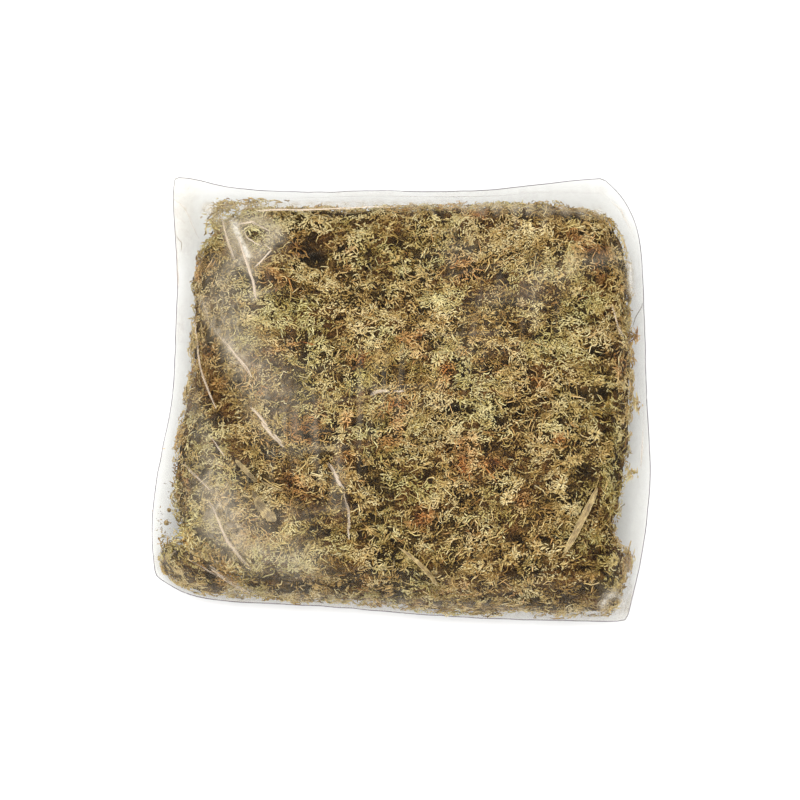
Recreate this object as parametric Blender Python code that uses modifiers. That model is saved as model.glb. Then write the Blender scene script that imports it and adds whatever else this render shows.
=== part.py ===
"""A slab of dried sphagnum moss, pressed flat and packed in a bag of clear film.

The pack lies on its back: X runs along its width, Y away from the viewer, Z up.
Lengths in this file are in millimetres until a mesh is made, which is in metres.
The bag and the moss are both "pillows": an outline seen from above, and a top and
an underside that meet along it.
"""

import math

import bmesh
import bpy
import numpy as np
from mathutils import Vector, noise
from mathutils.bvhtree import BVHTree

MM = 0.001

# Driving sizes
PACK_HEIGHT = 70.0
FILM = 0.2
LAYER_GAP = 0.6
MOSS_CLEARANCE = 0.5
SHOULDER_ROUNDNESS = 2.5
HEEL_ROUNDNESS = 2.2
HEEL_PER_HEIGHT = 1.1
FLAT_FROM = 0.985

# Lumps where tufts of moss press against the film, and the pits between them
LUMP_SIZE = 26.0
LUMP_DEPTH = 6.5
SWELL_SIZE = 75.0
SWELL_DEPTH = 2.0
UNDERSIDE_SHARE = 0.25

# How each pillow is divided, across and away
BAG_CELLS = (26, 24)
BAG_CROWDING = 1.8
MOSS_CELLS = (33, 31)
TUFT_CELLS = (9, 7)
MOSS_CROWDING = 1.4
PITCH_OF_OUTLINE = 48

# An outline has four sides. Front and back run from left to right, and left and
# right from front to back. A row is x, y, the height of the edge above the table,
# the width of the flat fin where two layers of film meet, and the width of the
# shoulder over which the surface rises to the top.
BAG_SIDES = {
    "front": [
        (-147.5, -113.0, 14, 2.0, 28),
        (-126.5, -124.5, 14, 1.0, 26),
        (-109.0, -127.7, 14, 1.0, 22),
        (-82.0, -129.8, 16, 0.8, 20),
        (-39.5, -132.2, 16, 0.8, 20),
        (31.0, -137.9, 16, 0.8, 20),
        (96.0, -140.5, 16, 0.8, 20),
        (134.5, -141.0, 18, 1.5, 24),
    ],
    "back": [
        (-139.2, 134.8, 22, 9.0, 50),
        (-128.0, 134.5, 22, 9.0, 46),
        (-112.5, 130.0, 22, 8.0, 38),
        (-85.0, 126.3, 23, 5.0, 30),
        (-15.0, 125.8, 24, 4.0, 26),
        (53.0, 126.5, 24, 4.5, 26),
        (85.5, 130.2, 24, 6.0, 30),
        (123.5, 134.5, 22, 9.0, 42),
    ],
    "left": [
        (-147.5, -113.0, 14, 2.0, 28),
        (-150.0, -88.0, 18, 3.0, 34),
        (-147.5, -55.0, 22, 4.0, 40),
        (-138.5, -6.0, 24, 3.0, 36),
        (-137.0, 38.0, 24, 3.0, 34),
        (-136.5, 72.0, 24, 4.0, 36),
        (-138.2, 96.0, 22, 7.0, 42),
        (-139.8, 121.0, 22, 9.0, 50),
        (-139.2, 134.8, 22, 9.0, 50),
    ],
    "right": [
        (134.5, -141.0, 18, 1.5, 24),
        (144.5, -98.0, 22, 2.5, 28),
        (149.5, -56.0, 24, 3.5, 30),
        (148.0, -6.0, 26, 2.0, 28),
        (146.8, 68.0, 26, 1.5, 28),
        (144.8, 98.5, 24, 3.0, 30),
        (135.5, 122.0, 22, 6.0, 36),
        (123.5, 134.5, 22, 9.0, 42),
    ],
}
MOSS_SIDES = {
    "front": [
        (-99.0, -119.0, 22, 0, 22),
        (-92.0, -125.8, 18, 0, 18),
        (-82.0, -127.8, 17, 0, 16),
        (-39.5, -130.4, 17, 0, 16),
        (31.0, -136.2, 17, 0, 16),
        (96.0, -138.9, 17, 0, 16),
        (131.0, -136.8, 18, 0, 18),
    ],
    "back": [
        (-115.0, 101.5, 33, 0, 24),
        (-100.0, 112.5, 35, 0, 24),
        (-84.0, 115.5, 34, 0, 22),
        (-60.0, 113.5, 34, 0, 22),
        (48.0, 115.5, 34, 0, 22),
        (98.0, 114.5, 34, 0, 22),
        (129.5, 107.0, 32, 0, 24),
    ],
    "left": [
        (-99.0, -119.0, 22, 0, 22),
        (-111.0, -103.5, 26, 0, 26),
        (-127.0, -98.0, 26, 0, 26),
        (-137.0, -84.0, 26, 0, 26),
        (-136.5, -40.0, 28, 0, 26),
        (-131.0, 8.0, 29, 0, 26),
        (-129.5, 52.0, 29, 0, 26),
        (-126.5, 78.0, 30, 0, 26),
        (-115.0, 101.5, 33, 0, 24),
    ],
    "right": [
        (131.0, -136.8, 18, 0, 18),
        (135.5, -127.0, 19, 0, 20),
        (138.5, -113.0, 21, 0, 22),
        (137.0, -101.0, 25, 0, 22),
        (129.5, -92.0, 30, 0, 22),
        (131.0, -78.0, 31, 0, 22),
        (134.5, -60.0, 31, 0, 22),
        (139.5, -32.0, 32, 0, 22),
        (140.5, 30.0, 33, 0, 22),
        (139.0, 82.0, 33, 0, 24),
        (129.5, 107.0, 32, 0, 24),
    ],
}
CORNER_TUFT_SIDES = {
    "front": [
        (-143.8, -110.8, 14, 0, 9),
        (-126.0, -121.5, 14, 0, 9),
        (-107.0, -125.4, 14, 0, 9),
    ],
    "back": [
        (-144.6, -95.5, 16, 0, 9),
        (-129.0, -100.5, 20, 0, 9),
        (-106.5, -111.0, 20, 0, 9),
    ],
    "left": [(-143.8, -110.8, 14, 0, 9), (-145.6, -103.5, 15, 0, 9), (-144.6, -95.5, 16, 0, 9)],
    "right": [
        (-107.0, -125.4, 14, 0, 9),
        (-102.0, -121.8, 18, 0, 9),
        (-106.5, -111.0, 20, 0, 9),
    ],
}
# Plant litter that lies flat on the moss, under the film: its thickness, then the x, the
# y and its width at places along it
LITTER = {
    "grass_blade_right": (1.2, [(115.5, -71, 4.2), (106.5, -89, 4.9), (96, -110, 4.2)]),
    "grass_blade_left": (1.1, [(-98, -53.5, 3.0), (-91.5, -60.5, 3.6), (-85.5, -67, 3.0)]),
    "grass_stalk_front": (1.4, [(-2, -106, 1.6), (9, -115, 2.4), (21, -127, 3.2)]),
    "twig_left": (1.1, [(-83, -66, 1.2), (-77, -69.5, 1.4), (-70.5, -72.5, 1.2)]),
    "dead_leaf": (1.0, [(-88, -72, 2.4), (-82.5, -82, 6.5), (-75, -91.5, 9.0)]),
}
LITTER_CELLS = (10, 3)
BLUNT_END = 0.45
OUTLINE_STEP = 0.01
GROOVE_DEPTH = 1.6
GROOVE_HALF_WIDTH = 10.0
GROOVE_FADE = 10.0

# Loose crumbs of moss on the lower layer of film, left of the block: x, y, size
CRUMBS = {
    "moss_crumb_back": (-140.0, -72.0, 2.6),
    "moss_crumb_middle": (-141.5, -80.0, 3.2),
    "moss_crumb_front": (-143.5, -88.0, 2.2),
}

COLOURS = {
    "moss": ((0.34, 0.27, 0.13, 1), 0.95),
    "loose_moss": ((0.30, 0.23, 0.12, 1), 0.95),
    "dry_grass": ((0.45, 0.36, 0.19, 1), 0.75),
    "clear_film": ((0.9, 0.9, 0.88, 0.25), 0.2),
}


def along(rows, shares):
    """The points at these shares of the way along a smooth line through the rows."""
    rows = np.array(rows, float)
    steps = np.linalg.norm(np.diff(rows[:, :2], axis=0), axis=1)
    knots = np.concatenate([[0], np.cumsum(steps)]) / steps.sum()
    slopes = np.gradient(rows, knots, axis=0)
    first = np.clip(np.searchsorted(knots, shares, "right") - 1, 0, len(knots) - 2)
    span = (knots[first + 1] - knots[first])[:, None]
    t = (shares[:, None] - knots[first][:, None]) / span
    start = (1 + 2 * t) * (1 - t) ** 2 * rows[first] + t * (1 - t) ** 2 * span * slopes[first]
    end = t**2 * (3 - 2 * t) * rows[first + 1] - t**2 * (1 - t) * span * slopes[first + 1]
    return start + end


def distance_to_line(places, line):
    """How far each place is from a line through many points."""
    start, step = line[:-1, :2], np.diff(line[:, :2], axis=0)
    away = places[:, None] - start
    share = np.clip((away * step).sum(2) / (step**2).sum(1), 0, 1)
    return np.linalg.norm(away - share[:, :, None] * step, axis=2).min(1)


class Pillow:
    """A closed form over an outline, between a floor and a crown height."""

    def __init__(self, sides, floor, crown, layer_gap=0.0):
        self.sides, self.floor, self.crown, self.layer_gap = sides, floor, crown, layer_gap
        shares = np.linspace(0, 1, PITCH_OF_OUTLINE)
        self.lines = [along(rows, shares) for rows in sides.values()]
        self.corners = [
            np.array(sides[side][end], float) for side in ("front", "back") for end in (0, -1)
        ]

    def places(self, across, away):
        """The plan positions of grid points whose coordinates run from 0 to 1."""
        front, back = along(self.sides["front"], across), along(self.sides["back"], across)
        left, right = along(self.sides["left"], away), along(self.sides["right"], away)
        u, v = across[:, None], away[:, None]
        near_left, near_right, far_left, far_right = self.corners
        corners = (1 - v) * ((1 - u) * near_left + u * near_right)
        corners += v * ((1 - u) * far_left + u * far_right)
        return ((1 - v) * front + v * back + (1 - u) * left + u * right - corners)[:, :2]

    def edge(self, places):
        """At each place: how far it is inside the outline, and the edge's own
        height, fin and shoulder, blended from the edge that is near."""
        to_sides = np.stack([distance_to_line(places, line) for line in self.lines], 1)
        inside = (np.maximum(to_sides, 1e-4) ** -6).sum(1) ** (-1 / 6)
        rows = np.concatenate(self.lines)
        gaps = ((places[:, None] - rows[:, :2]) ** 2).sum(2) + 0.05
        weights = gaps**-2
        blended = (weights[:, :, None] * rows[:, 2:]).sum(1) / weights.sum(1)[:, None]
        return inside, *blended.T

    def top(self, places):
        inside, height, fin, shoulder = self.edge(places)
        climb = np.clip((inside - fin) / shoulder, 0, 1)
        rise = 1 - (1 - climb) ** SHOULDER_ROUNDNESS
        lip = self.layer_gap * np.clip(inside / 3, 0, 1)
        return height + lip + (self.crown - height) * rise

    def underside(self, places):
        inside, height, fin, _ = self.edge(places)
        heel = HEEL_PER_HEIGHT * (height - self.floor)
        fall = 1 - (1 - np.clip((inside - fin) / heel, 0, 1)) ** HEEL_ROUNDNESS
        fall = np.where(fall > FLAT_FROM, 1, fall)
        lip = self.layer_gap * np.clip(inside / 3, 0, 1)
        return height - (height - self.floor) * fall - lip * (1 - fall)


def crowded(cell, crowding):
    """A grid coordinate from -1 to 1 as a share from 0 to 1, with cells that narrow
    towards both edges."""
    reach = 1 - (1 - np.abs(cell)) ** crowding
    return (1 + np.sign(cell) * reach) / 2


def smooth_object(name, bm, colour, collection):
    """An object from a bmesh, shaded smooth."""
    mesh = bpy.data.meshes.new(name)
    bm.normal_update()
    bm.to_mesh(mesh)
    bm.free()
    mesh.shade_smooth()
    obj = bpy.data.objects.new(name, mesh)
    collection.objects.link(obj)
    obj.data.materials.append(material(colour))
    return obj


def material(name):
    """A plain material with the colour and roughness of its kind."""
    found = bpy.data.materials.get(name)
    if found:
        return found
    colour, roughness = COLOURS[name]
    made = bpy.data.materials.new(name)
    made.use_nodes = True
    shader = made.node_tree.nodes["Principled BSDF"]
    shader.inputs["Base Color"].default_value = (*colour[:3], 1)
    shader.inputs["Roughness"].default_value = roughness
    shader.inputs["Metallic"].default_value = 0
    shader.inputs["Alpha"].default_value = colour[3]
    return made


def pillow_mesh(pillow, cells, crowding, top, underside, mouth=0.0):
    """A bmesh of a pillow: a grid for the top and one for the underside, joined along
    the outline. A mouth keeps them apart by that much along the back."""
    bm = bmesh.new()
    for side in (1, -1):
        grid = bmesh.ops.create_grid(bm, x_segments=cells[0], y_segments=cells[1], size=1)
        verts = grid["verts"]
        cell = np.array([v.co[:2] for v in verts])
        places = pillow.places(crowded(cell[:, 0], crowding), crowded(cell[:, 1], crowding))
        upper, lower = top(places), underside(places)
        at_edge = np.abs(cell).max(1) > 1 - 1e-6
        heights = np.where(at_edge, (upper + lower) / 2, upper if side > 0 else lower)
        at_mouth = (cell[:, 1] > 1 - 1e-6) & (np.abs(cell[:, 0]) < 1 - 1e-6)
        heights = heights + at_mouth * side * mouth / 2
        for vert, (x, y), z in zip(verts, places, heights):
            vert.co = (x * MM, y * MM, z * MM)
        if side < 0:
            faces = {face for vert in verts for face in vert.link_faces}
            bmesh.ops.reverse_faces(bm, faces=list(faces))
    bmesh.ops.remove_doubles(bm, verts=bm.verts, dist=1e-6)
    bmesh.ops.triangulate(bm, faces=bm.faces, quad_method="LONG_EDGE")
    return bm


def lump_depth(point):
    """How far the moss lies under its envelope here: 0 on a tuft, most in a pit."""
    gap = noise.voronoi(point / LUMP_SIZE)[0][0]
    pit = LUMP_DEPTH * min(gap, 1) ** 2
    swell = SWELL_DEPTH * (0.5 + 0.5 * noise.noise(point / SWELL_SIZE))
    return pit + swell


def sink_lumps(bm):
    """Pushes the moss in between its tufts, and less where it lies on the table."""
    bm.normal_update()
    moves = []
    for vert in bm.verts:
        share = 1 if vert.normal.z > -0.5 else UNDERSIDE_SHARE
        moves.append(-vert.normal * lump_depth(vert.co / MM) * share * MM)
    for vert, move in zip(bm.verts, moves):
        vert.co += move


class Film:
    """The inner face of the bag, as far as it is modelled."""

    def __init__(self, bm):
        self.tree = BVHTree.FromBMesh(bm)

    def surface(self, places, way, room):
        """The height that keeps this much room from the film above (way 1) or below
        (way -1) each place."""
        heights = []
        for x, y in places:
            start = Vector((x * MM, y * MM, way))
            hit, normal, _, _ = self.tree.ray_cast(start, Vector((0, 0, -way)))
            slope = max(abs(normal.z), 0.25)
            heights.append(hit.z / MM - way * room / slope)
        return np.array(heights)

    def top(self, places, room):
        return self.surface(places, 1, room)

    def underside(self, places, room):
        return self.surface(places, -1, room)


def groove(places):
    """How far the moss gives way under the litter that lies on it."""
    depth = np.zeros(len(places))
    for thickness, rows in LITTER.values():
        gap = distance_to_line(places, np.array(rows, float)) - GROOVE_HALF_WIDTH
        fade = 1 - np.clip(gap / GROOVE_FADE, 0, 1)
        depth = np.maximum(depth, (thickness + GROOVE_DEPTH) * fade)
    return depth


def within(film, pillow):
    """The moss's own top and underside, kept clear of the bag and the litter."""

    def top(places):
        limit = film.top(places, MOSS_CLEARANCE) - groove(places)
        return np.minimum(pillow.top(places), limit)

    def underside(places):
        return np.maximum(pillow.underside(places), film.underside(places, MOSS_CLEARANCE))

    return top, underside


def make_bag(collection):
    """The film: one skin, open along the back where its two layers lie together."""
    bag = Pillow(BAG_SIDES, FILM, PACK_HEIGHT - FILM, LAYER_GAP)
    mouth = 2 * LAYER_GAP
    bm = pillow_mesh(bag, BAG_CELLS, BAG_CROWDING, bag.top, bag.underside, mouth)
    film = Film(bm)
    obj = smooth_object("bag", bm, "clear_film", collection)
    skin = obj.modifiers.new("Solidify", "SOLIDIFY")
    skin.thickness = FILM * MM
    skin.offset = 1
    skin.use_rim = True
    return film


def make_moss_block(film, collection):
    """The slab of moss, with tufts that press against the film and pits between."""
    pillow = Pillow(MOSS_SIDES, FILM + MOSS_CLEARANCE, PACK_HEIGHT - FILM - MOSS_CLEARANCE)
    top, underside = within(film, pillow)
    bm = pillow_mesh(pillow, MOSS_CELLS, MOSS_CROWDING, top, underside)
    sink_lumps(bm)
    return smooth_object("moss_block", bm, "moss", collection)


def make_corner_tuft(film, collection):
    """The loose tuft that fills the front left corner of the bag."""
    pillow = Pillow(CORNER_TUFT_SIDES, FILM + MOSS_CLEARANCE, PACK_HEIGHT)
    top, underside = within(film, pillow)
    bm = pillow_mesh(pillow, TUFT_CELLS, MOSS_CROWDING, top, underside)
    smooth_object("moss_tuft_corner", bm, "loose_moss", collection)


def make_litter(film, collection):
    """Grass, a twig and a leaf: thin strips that follow the film above them."""
    for name, (thickness, rows) in LITTER.items():
        bm = bmesh.new()
        cells_along, cells_across = LITTER_CELLS
        grid = bmesh.ops.create_grid(bm, x_segments=cells_along, y_segments=cells_across, size=1)
        verts = grid["verts"]
        cell = np.array([v.co[:2] for v in verts])
        share = (cell[:, 0] + 1) / 2
        middle = along(rows, share)
        ahead = along(rows, np.clip(share + OUTLINE_STEP, 0, 1))
        behind = along(rows, np.clip(share - OUTLINE_STEP, 0, 1))
        way = (ahead - behind)[:, :2]
        way /= np.linalg.norm(way, axis=1)[:, None]
        half = middle[:, 2] / 2 * (1 - BLUNT_END * np.abs(cell[:, 0]) ** 8)
        places = middle[:, :2] + np.stack([-way[:, 1], way[:, 0]], 1) * (cell[:, 1] * half)[:, None]
        heights = film.top(places, MOSS_CLEARANCE)
        for vert, (x, y), z in zip(verts, places, heights):
            vert.co = (x * MM, y * MM, z * MM)
        obj = smooth_object(name, bm, "dry_grass", collection)
        obj.data.set_sharp_from_angle(angle=math.radians(40))
        body = obj.modifiers.new("Solidify", "SOLIDIFY")
        body.thickness = thickness * MM
        body.offset = -1


def make_crumbs(film, collection):
    """Crumbs of moss that lie on the lower layer of film."""
    for name, (x, y, size) in CRUMBS.items():
        bm = bmesh.new()
        bmesh.ops.create_icosphere(bm, subdivisions=2, radius=size / 2 * MM)
        for vert in bm.verts:
            vert.co *= 1 + 0.3 * noise.noise(vert.co / MM * 0.9 + Vector((x, y, 0)))
        obj = smooth_object(name, bm, "loose_moss", collection)
        height = film.underside([(x, y)], size / 2 + MOSS_CLEARANCE)[0]
        obj.location = (x * MM, y * MM, height * MM)


def centre(collection):
    """Moves the pack so that the origin is at the middle of the box it fills, on the
    table."""
    bpy.context.view_layer.update()
    graph = bpy.context.evaluated_depsgraph_get()
    corners = []
    for obj in collection.objects:
        mesh = obj.evaluated_get(graph).to_mesh()
        corners += [obj.matrix_world @ vert.co for vert in mesh.vertices]
    corners = np.array(corners)
    low, high = corners.min(0), corners.max(0)
    shift = Vector((-(low[0] + high[0]) / 2, -(low[1] + high[1]) / 2, -low[2]))
    for obj in collection.objects:
        obj.location += shift


def main():
    for obj in list(bpy.data.objects):
        bpy.data.objects.remove(obj)
    collection = bpy.data.collections.new("moss_pack")
    bpy.context.scene.collection.children.link(collection)
    film = make_bag(collection)
    make_moss_block(film, collection)
    make_corner_tuft(film, collection)
    make_litter(film, collection)
    make_crumbs(film, collection)
    centre(collection)


main()
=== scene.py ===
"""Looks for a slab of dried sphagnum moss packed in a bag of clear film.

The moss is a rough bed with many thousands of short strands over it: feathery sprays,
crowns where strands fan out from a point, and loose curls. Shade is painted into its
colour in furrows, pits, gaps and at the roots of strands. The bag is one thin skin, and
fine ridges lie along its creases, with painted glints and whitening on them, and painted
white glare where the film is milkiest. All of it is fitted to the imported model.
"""

import math

import bmesh
import bpy
import numpy as np
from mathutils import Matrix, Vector
from mathutils.bvhtree import BVHTree


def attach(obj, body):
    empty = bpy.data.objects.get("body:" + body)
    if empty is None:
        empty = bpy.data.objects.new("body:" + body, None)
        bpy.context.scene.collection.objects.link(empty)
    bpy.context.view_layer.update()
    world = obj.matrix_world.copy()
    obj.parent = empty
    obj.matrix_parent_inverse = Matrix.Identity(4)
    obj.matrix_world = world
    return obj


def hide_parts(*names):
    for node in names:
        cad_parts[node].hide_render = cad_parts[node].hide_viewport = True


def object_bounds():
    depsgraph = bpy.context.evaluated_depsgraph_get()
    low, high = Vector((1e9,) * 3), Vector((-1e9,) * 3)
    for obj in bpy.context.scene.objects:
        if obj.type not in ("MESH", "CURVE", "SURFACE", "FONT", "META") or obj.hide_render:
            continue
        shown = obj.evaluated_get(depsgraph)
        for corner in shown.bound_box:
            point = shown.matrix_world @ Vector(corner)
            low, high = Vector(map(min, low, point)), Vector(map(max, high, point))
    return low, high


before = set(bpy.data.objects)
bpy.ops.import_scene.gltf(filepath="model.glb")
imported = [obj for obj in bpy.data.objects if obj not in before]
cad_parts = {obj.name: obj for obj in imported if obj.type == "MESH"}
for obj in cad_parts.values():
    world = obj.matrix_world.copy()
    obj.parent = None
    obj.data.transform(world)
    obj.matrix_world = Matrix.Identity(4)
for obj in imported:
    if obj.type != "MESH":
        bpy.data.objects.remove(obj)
CAD_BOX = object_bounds()
MM = 0.001

# The photograph's frame
PHOTO_SIDE = 800
PIXEL = 0.604 * MM
CAMERA_ELEVATION = math.radians(76)
CAMERA_DISTANCE = 2.4
AIM = Vector((-0.7 * MM, -3.0 * MM, 24 * MM))
SENSOR = 36.0

# Colours as they look on a screen, 0 to 255
STRAW = ((44, 25, 3), (134, 104, 48), (180, 157, 102), (202, 187, 144))
RUST = ((36, 16, 3), (114, 64, 22), (166, 110, 54), (190, 150, 98))
OLIVE = ((40, 28, 3), (128, 110, 50), (172, 159, 100), (196, 187, 140))
# The bed's colours: dark brown moss, darkened further as painted shade for its depth
BED_BROWN_AND_SHADE = ((4, 2, 1), (20, 12, 4), (60, 42, 16), (118, 94, 48))
DRY = ((62, 44, 18), (104, 84, 44), (136, 114, 68), (168, 150, 102))


def linear(colour):
    """A screen colour as the light that it stands for."""
    shares = [value / 255 for value in colour]
    light = [s / 12.92 if s <= 0.04045 else ((s + 0.055) / 1.055) ** 2.4 for s in shares]
    return (*light, 1.0)


def view_axes():
    """The camera's right, up and backward directions."""
    back = Vector((0, -math.cos(CAMERA_ELEVATION), math.sin(CAMERA_ELEVATION)))
    right = Vector((1, 0, 0))
    return right, back.cross(right), back


def photo_ray(px, py):
    """The camera's place, and the direction from it through a pixel of the photograph."""
    right, up, back = view_axes()
    eye = AIM + back * CAMERA_DISTANCE
    middle = PHOTO_SIDE / 2
    target = AIM + right * (px - middle) * PIXEL + up * (middle - py) * PIXEL
    return eye, (target - eye).normalized()


def eye_point(px, py, height):
    """The point at this height that shows at a pixel of the photograph."""
    eye, way = photo_ray(px, py)
    return np.array(eye + way * ((height - eye.z) / way.z))


def make_camera():
    data = bpy.data.cameras.new("camera")
    data.sensor_width = SENSOR
    data.lens = SENSOR * CAMERA_DISTANCE / (PHOTO_SIDE * PIXEL)
    camera = bpy.data.objects.new("camera", data)
    bpy.context.scene.collection.objects.link(camera)
    camera.location = AIM + view_axes()[2] * CAMERA_DISTANCE
    camera.rotation_euler = (math.pi / 2 - CAMERA_ELEVATION, 0, 0)
    bpy.context.scene.camera = camera


# Turns the lattice of the noise, so that its lumps don't line up with the pack
LATTICE = np.array(((0.80, -0.48, 0.36), (0.60, 0.64, -0.48), (0.0, 0.60, 0.80)))
# Large numbers that scatter the value of every corner of the lattice
CORNER_KEYS = (73856093, 19349663, 83492791)
SEED_KEY = 2654435761
SCATTER_KEY = 1274126177
LOW_BITS = 0xFFFF


def noise_at(points, size, seed):
    """Smooth noise from 0 to 1, with lumps of this size, at each point."""
    scaled = points @ LATTICE / size
    cell = np.floor(scaled).astype(np.int64)
    share = scaled - cell
    share = share * share * (3 - 2 * share)
    total = np.zeros(len(points))
    for corner in np.ndindex(2, 2, 2):
        weight = np.prod(np.where(corner, share, 1 - share), axis=1)
        key = ((cell + corner) * CORNER_KEYS).sum(1) + seed * SEED_KEY
        key = (key ^ (key >> 13)) * SCATTER_KEY
        total += weight * (((key ^ (key >> 16)) & LOW_BITS) / LOW_BITS)
    return total


def layered(points, layers):
    """Noises added up by their shares: each layer has a size, a share and a seed."""
    return sum(share * noise_at(points, size, seed) for size, share, seed in layers)


def climb(values, start, width):
    """From 0 to 1 as the values climb from the start over the width."""
    return np.clip((values - start) / width, 0, 1)


def unit(vectors):
    """The same directions with length 1."""
    return vectors / np.maximum(np.linalg.norm(vectors, axis=-1, keepdims=True), 1e-12)


def between(rng, low, high, shape):
    return rng.uniform(low, high, shape)


def random_sizes(rng, limits, shape):
    """Random sizes in metres between limits in millimetres."""
    return between(rng, *limits, shape) * MM


def mesh_arrays(obj):
    """An object's vertices, and its faces cut into triangles."""
    mesh = obj.data
    mesh.calc_loop_triangles()
    verts = np.empty(len(mesh.vertices) * 3)
    mesh.vertices.foreach_get("co", verts)
    faces = np.empty(len(mesh.loop_triangles) * 3, int)
    mesh.loop_triangles.foreach_get("vertices", faces)
    return verts.reshape(-1, 3), faces.reshape(-1, 3)


def tree_of(*objects):
    """One search tree over all of the objects' faces."""
    verts, faces, start = [], [], 0
    for obj in objects:
        points, triangles = mesh_arrays(obj)
        verts += points.tolist()
        faces += (triangles + start).tolist()
        start += len(points)
    return BVHTree.FromPolygons(verts, faces)


def node_copy(name, node):
    """A new object with a welded copy of a node's mesh."""
    bm = bmesh.new()
    bm.from_mesh(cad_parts[node].data)
    bmesh.ops.remove_doubles(bm, verts=bm.verts, dist=1e-6)
    return new_object(name, bm)


def new_object(name, bm):
    mesh = bpy.data.meshes.new(name)
    bm.to_mesh(mesh)
    bm.free()
    mesh.shade_smooth()
    obj = bpy.data.objects.new(name, mesh)
    bpy.context.scene.collection.objects.link(obj)
    return obj


def apply_modifiers(obj):
    """Bakes an object's modifiers into its mesh."""
    graph = bpy.context.evaluated_depsgraph_get()
    graph.update()
    mesh = bpy.data.meshes.new_from_object(obj.evaluated_get(graph))
    old = obj.data
    obj.modifiers.clear()
    obj.data = mesh
    bpy.data.meshes.remove(old)
    mesh.name = obj.name


def normals_of(obj):
    normals = np.empty(len(obj.data.vertices) * 3)
    obj.data.vertex_normals.foreach_get("vector", normals)
    return normals.reshape(-1, 3)


def move_points(obj, points):
    obj.data.vertices.foreach_set("co", points.ravel())
    obj.data.update()


def mark_points(obj, name, values):
    """Stores a number or a vector at every vertex, for a material to read."""
    kind, key = ("FLOAT", "value") if values.ndim == 1 else ("FLOAT_VECTOR", "vector")
    obj.data.attributes.new(name, kind, "POINT").data.foreach_set(key, values.ravel())


# The bag

FILM_SUBDIVISIONS = 2
SMOOTHING_LOSS = 0.25
RIM_HEIGHT = 20 * MM
RIM_REACH = 8 * MM
BASE_REACH = 6 * MM
CRUMPLE = ((34 * MM, 1.3 * MM), (13 * MM, 0.55 * MM), (6 * MM, 0.2 * MM))
FILM_TINT = (0.957, 0.957, 0.951)
MILKY = (160, 148, 126)
# GLARE is the colour of a painted reflection on the film, where it is marked milkiest
GLARE = (216, 213, 205)
GLOSS = (226, 225, 220)
# The colour of the painted glints and whitening along the film's creases
CREASE_GLINT_COLOUR = (190, 173, 152)
RIM_COLOUR = (84, 74, 84)


def folded_noise(points, size, seed):
    """Noise with sharp valleys, like film that has been crumpled and let go."""
    return 1 - np.abs(noise_at(points, size, seed) * 2 - 1)


def swell_corners(obj):
    """Moves each vertex out by what smoothing will take away from it."""
    points, faces = mesh_arrays(obj)
    pairs = np.concatenate([faces[:, [0, 1]], faces[:, [1, 2]], faces[:, [2, 0]]])
    total, count = np.zeros_like(points), np.zeros(len(points))
    for first, second in ((0, 1), (1, 0)):
        np.add.at(total, pairs[:, first], points[pairs[:, second]])
        np.add.at(count, pairs[:, first], 1)
    move_points(obj, points + SMOOTHING_LOSS * (points - total / count[:, None]))


def make_bag():
    """The skin of the bag, crumpled a little inward so that it stays in its box."""
    bag = node_copy("bag_film", "bag")
    swell_corners(bag)
    smooth = bag.modifiers.new("Smooth", "SUBSURF")
    smooth.levels = smooth.render_levels = FILM_SUBDIVISIONS
    apply_modifiers(bag)
    points = mesh_arrays(bag)[0]
    points[:, 2] = np.clip(points[:, 2], CAD_BOX[0][2], CAD_BOX[1][2])
    inward = -np.clip((points[:, 2] - RIM_HEIGHT) / RIM_REACH, -1, 1)
    inward *= climb(points[:, 2], 0, BASE_REACH)
    for seed, (size, depth) in enumerate(CRUMPLE):
        points[:, 2] += inward * depth * folded_noise(points, size, seed + 1)
    move_points(bag, points)
    return bag


# Lines on the film where painted glints and whitened film lie along its folds, as they run
# in the photograph: width in millimetres, strength, and pixel places
CREASES = [
    (1.4, 0.4, ((206, 206), (222, 219), (236, 264))),
    (1.8, 0.62, ((228, 216), (240, 238), (247, 262), (254, 280), (256, 302))),
    (1.5, 0.75, ((228, 216), (270, 210), (330, 209), (399, 207))),
    (1.4, 0.55, ((236, 224), (252, 222), (262, 227), (272, 231))),
    (1.4, 0.55, ((257, 240), (271, 250), (263, 259), (254, 268))),
    (1.2, 0.5, ((240, 226), (250, 240), (262, 246))),
    (1.6, 0.5, ((201, 299), (210, 322), (229, 346), (247, 369), (252, 380))),
    (1.4, 0.34, ((194, 313), (202, 372), (211, 397), (217, 410))),
    (1.2, 0.28, ((206, 432), (217, 446), (226, 457))),
    (1.6, 0.4, ((172, 457), (186, 466), (211, 491))),
    (3.0, 0.54, ((245, 404), (262, 424), (285, 448))),
    (2.4, 0.5, ((319, 450), (332, 470), (343, 487))),
    (2.0, 0.26, ((343, 485), (349, 510), (350, 540))),
    (2.6, 0.28, ((364, 397), (380, 391), (404, 391))),
    (1.2, 0.4, ((611, 304), (618, 322), (624, 339))),
    (1.8, 0.34, ((188, 482), (211, 505), (226, 541), (254, 573))),
    (1.6, 0.3, ((183, 555), (217, 575), (247, 594))),
    (2.2, 0.42, ((202, 563), (226, 579), (250, 593))),
    (1.2, 0.4, ((155, 573), (165, 560), (176, 550))),
    (1.2, 0.22, ((165, 190), (185, 210), (200, 240))),
    (1.0, 0.22, ((172, 205), (176, 240), (178, 290))),
    (1.0, 0.22, ((600, 190), (622, 212), (636, 240))),
    (1.0, 0.24, ((640, 380), (643, 420), (641, 470))),
]
CREASE_POINTS = 28
CREASE_BITS = 10
CREASE_SWAY = 0.12 * MM
BIT_POINTS = 9
BIT_SWAY = 0.07 * MM
# A bit's start and length as shares of its crease, and its width, strength and offset as
# shares of the crease's own width and strength
BIT_START = (0, 0.8)
BIT_LENGTH = (0.15, 0.55)
BIT_WIDTH = (0.25, 0.8)
BIT_STRENGTH = (0.3, 1.0)
BIT_OFFSET = 0.24
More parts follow.
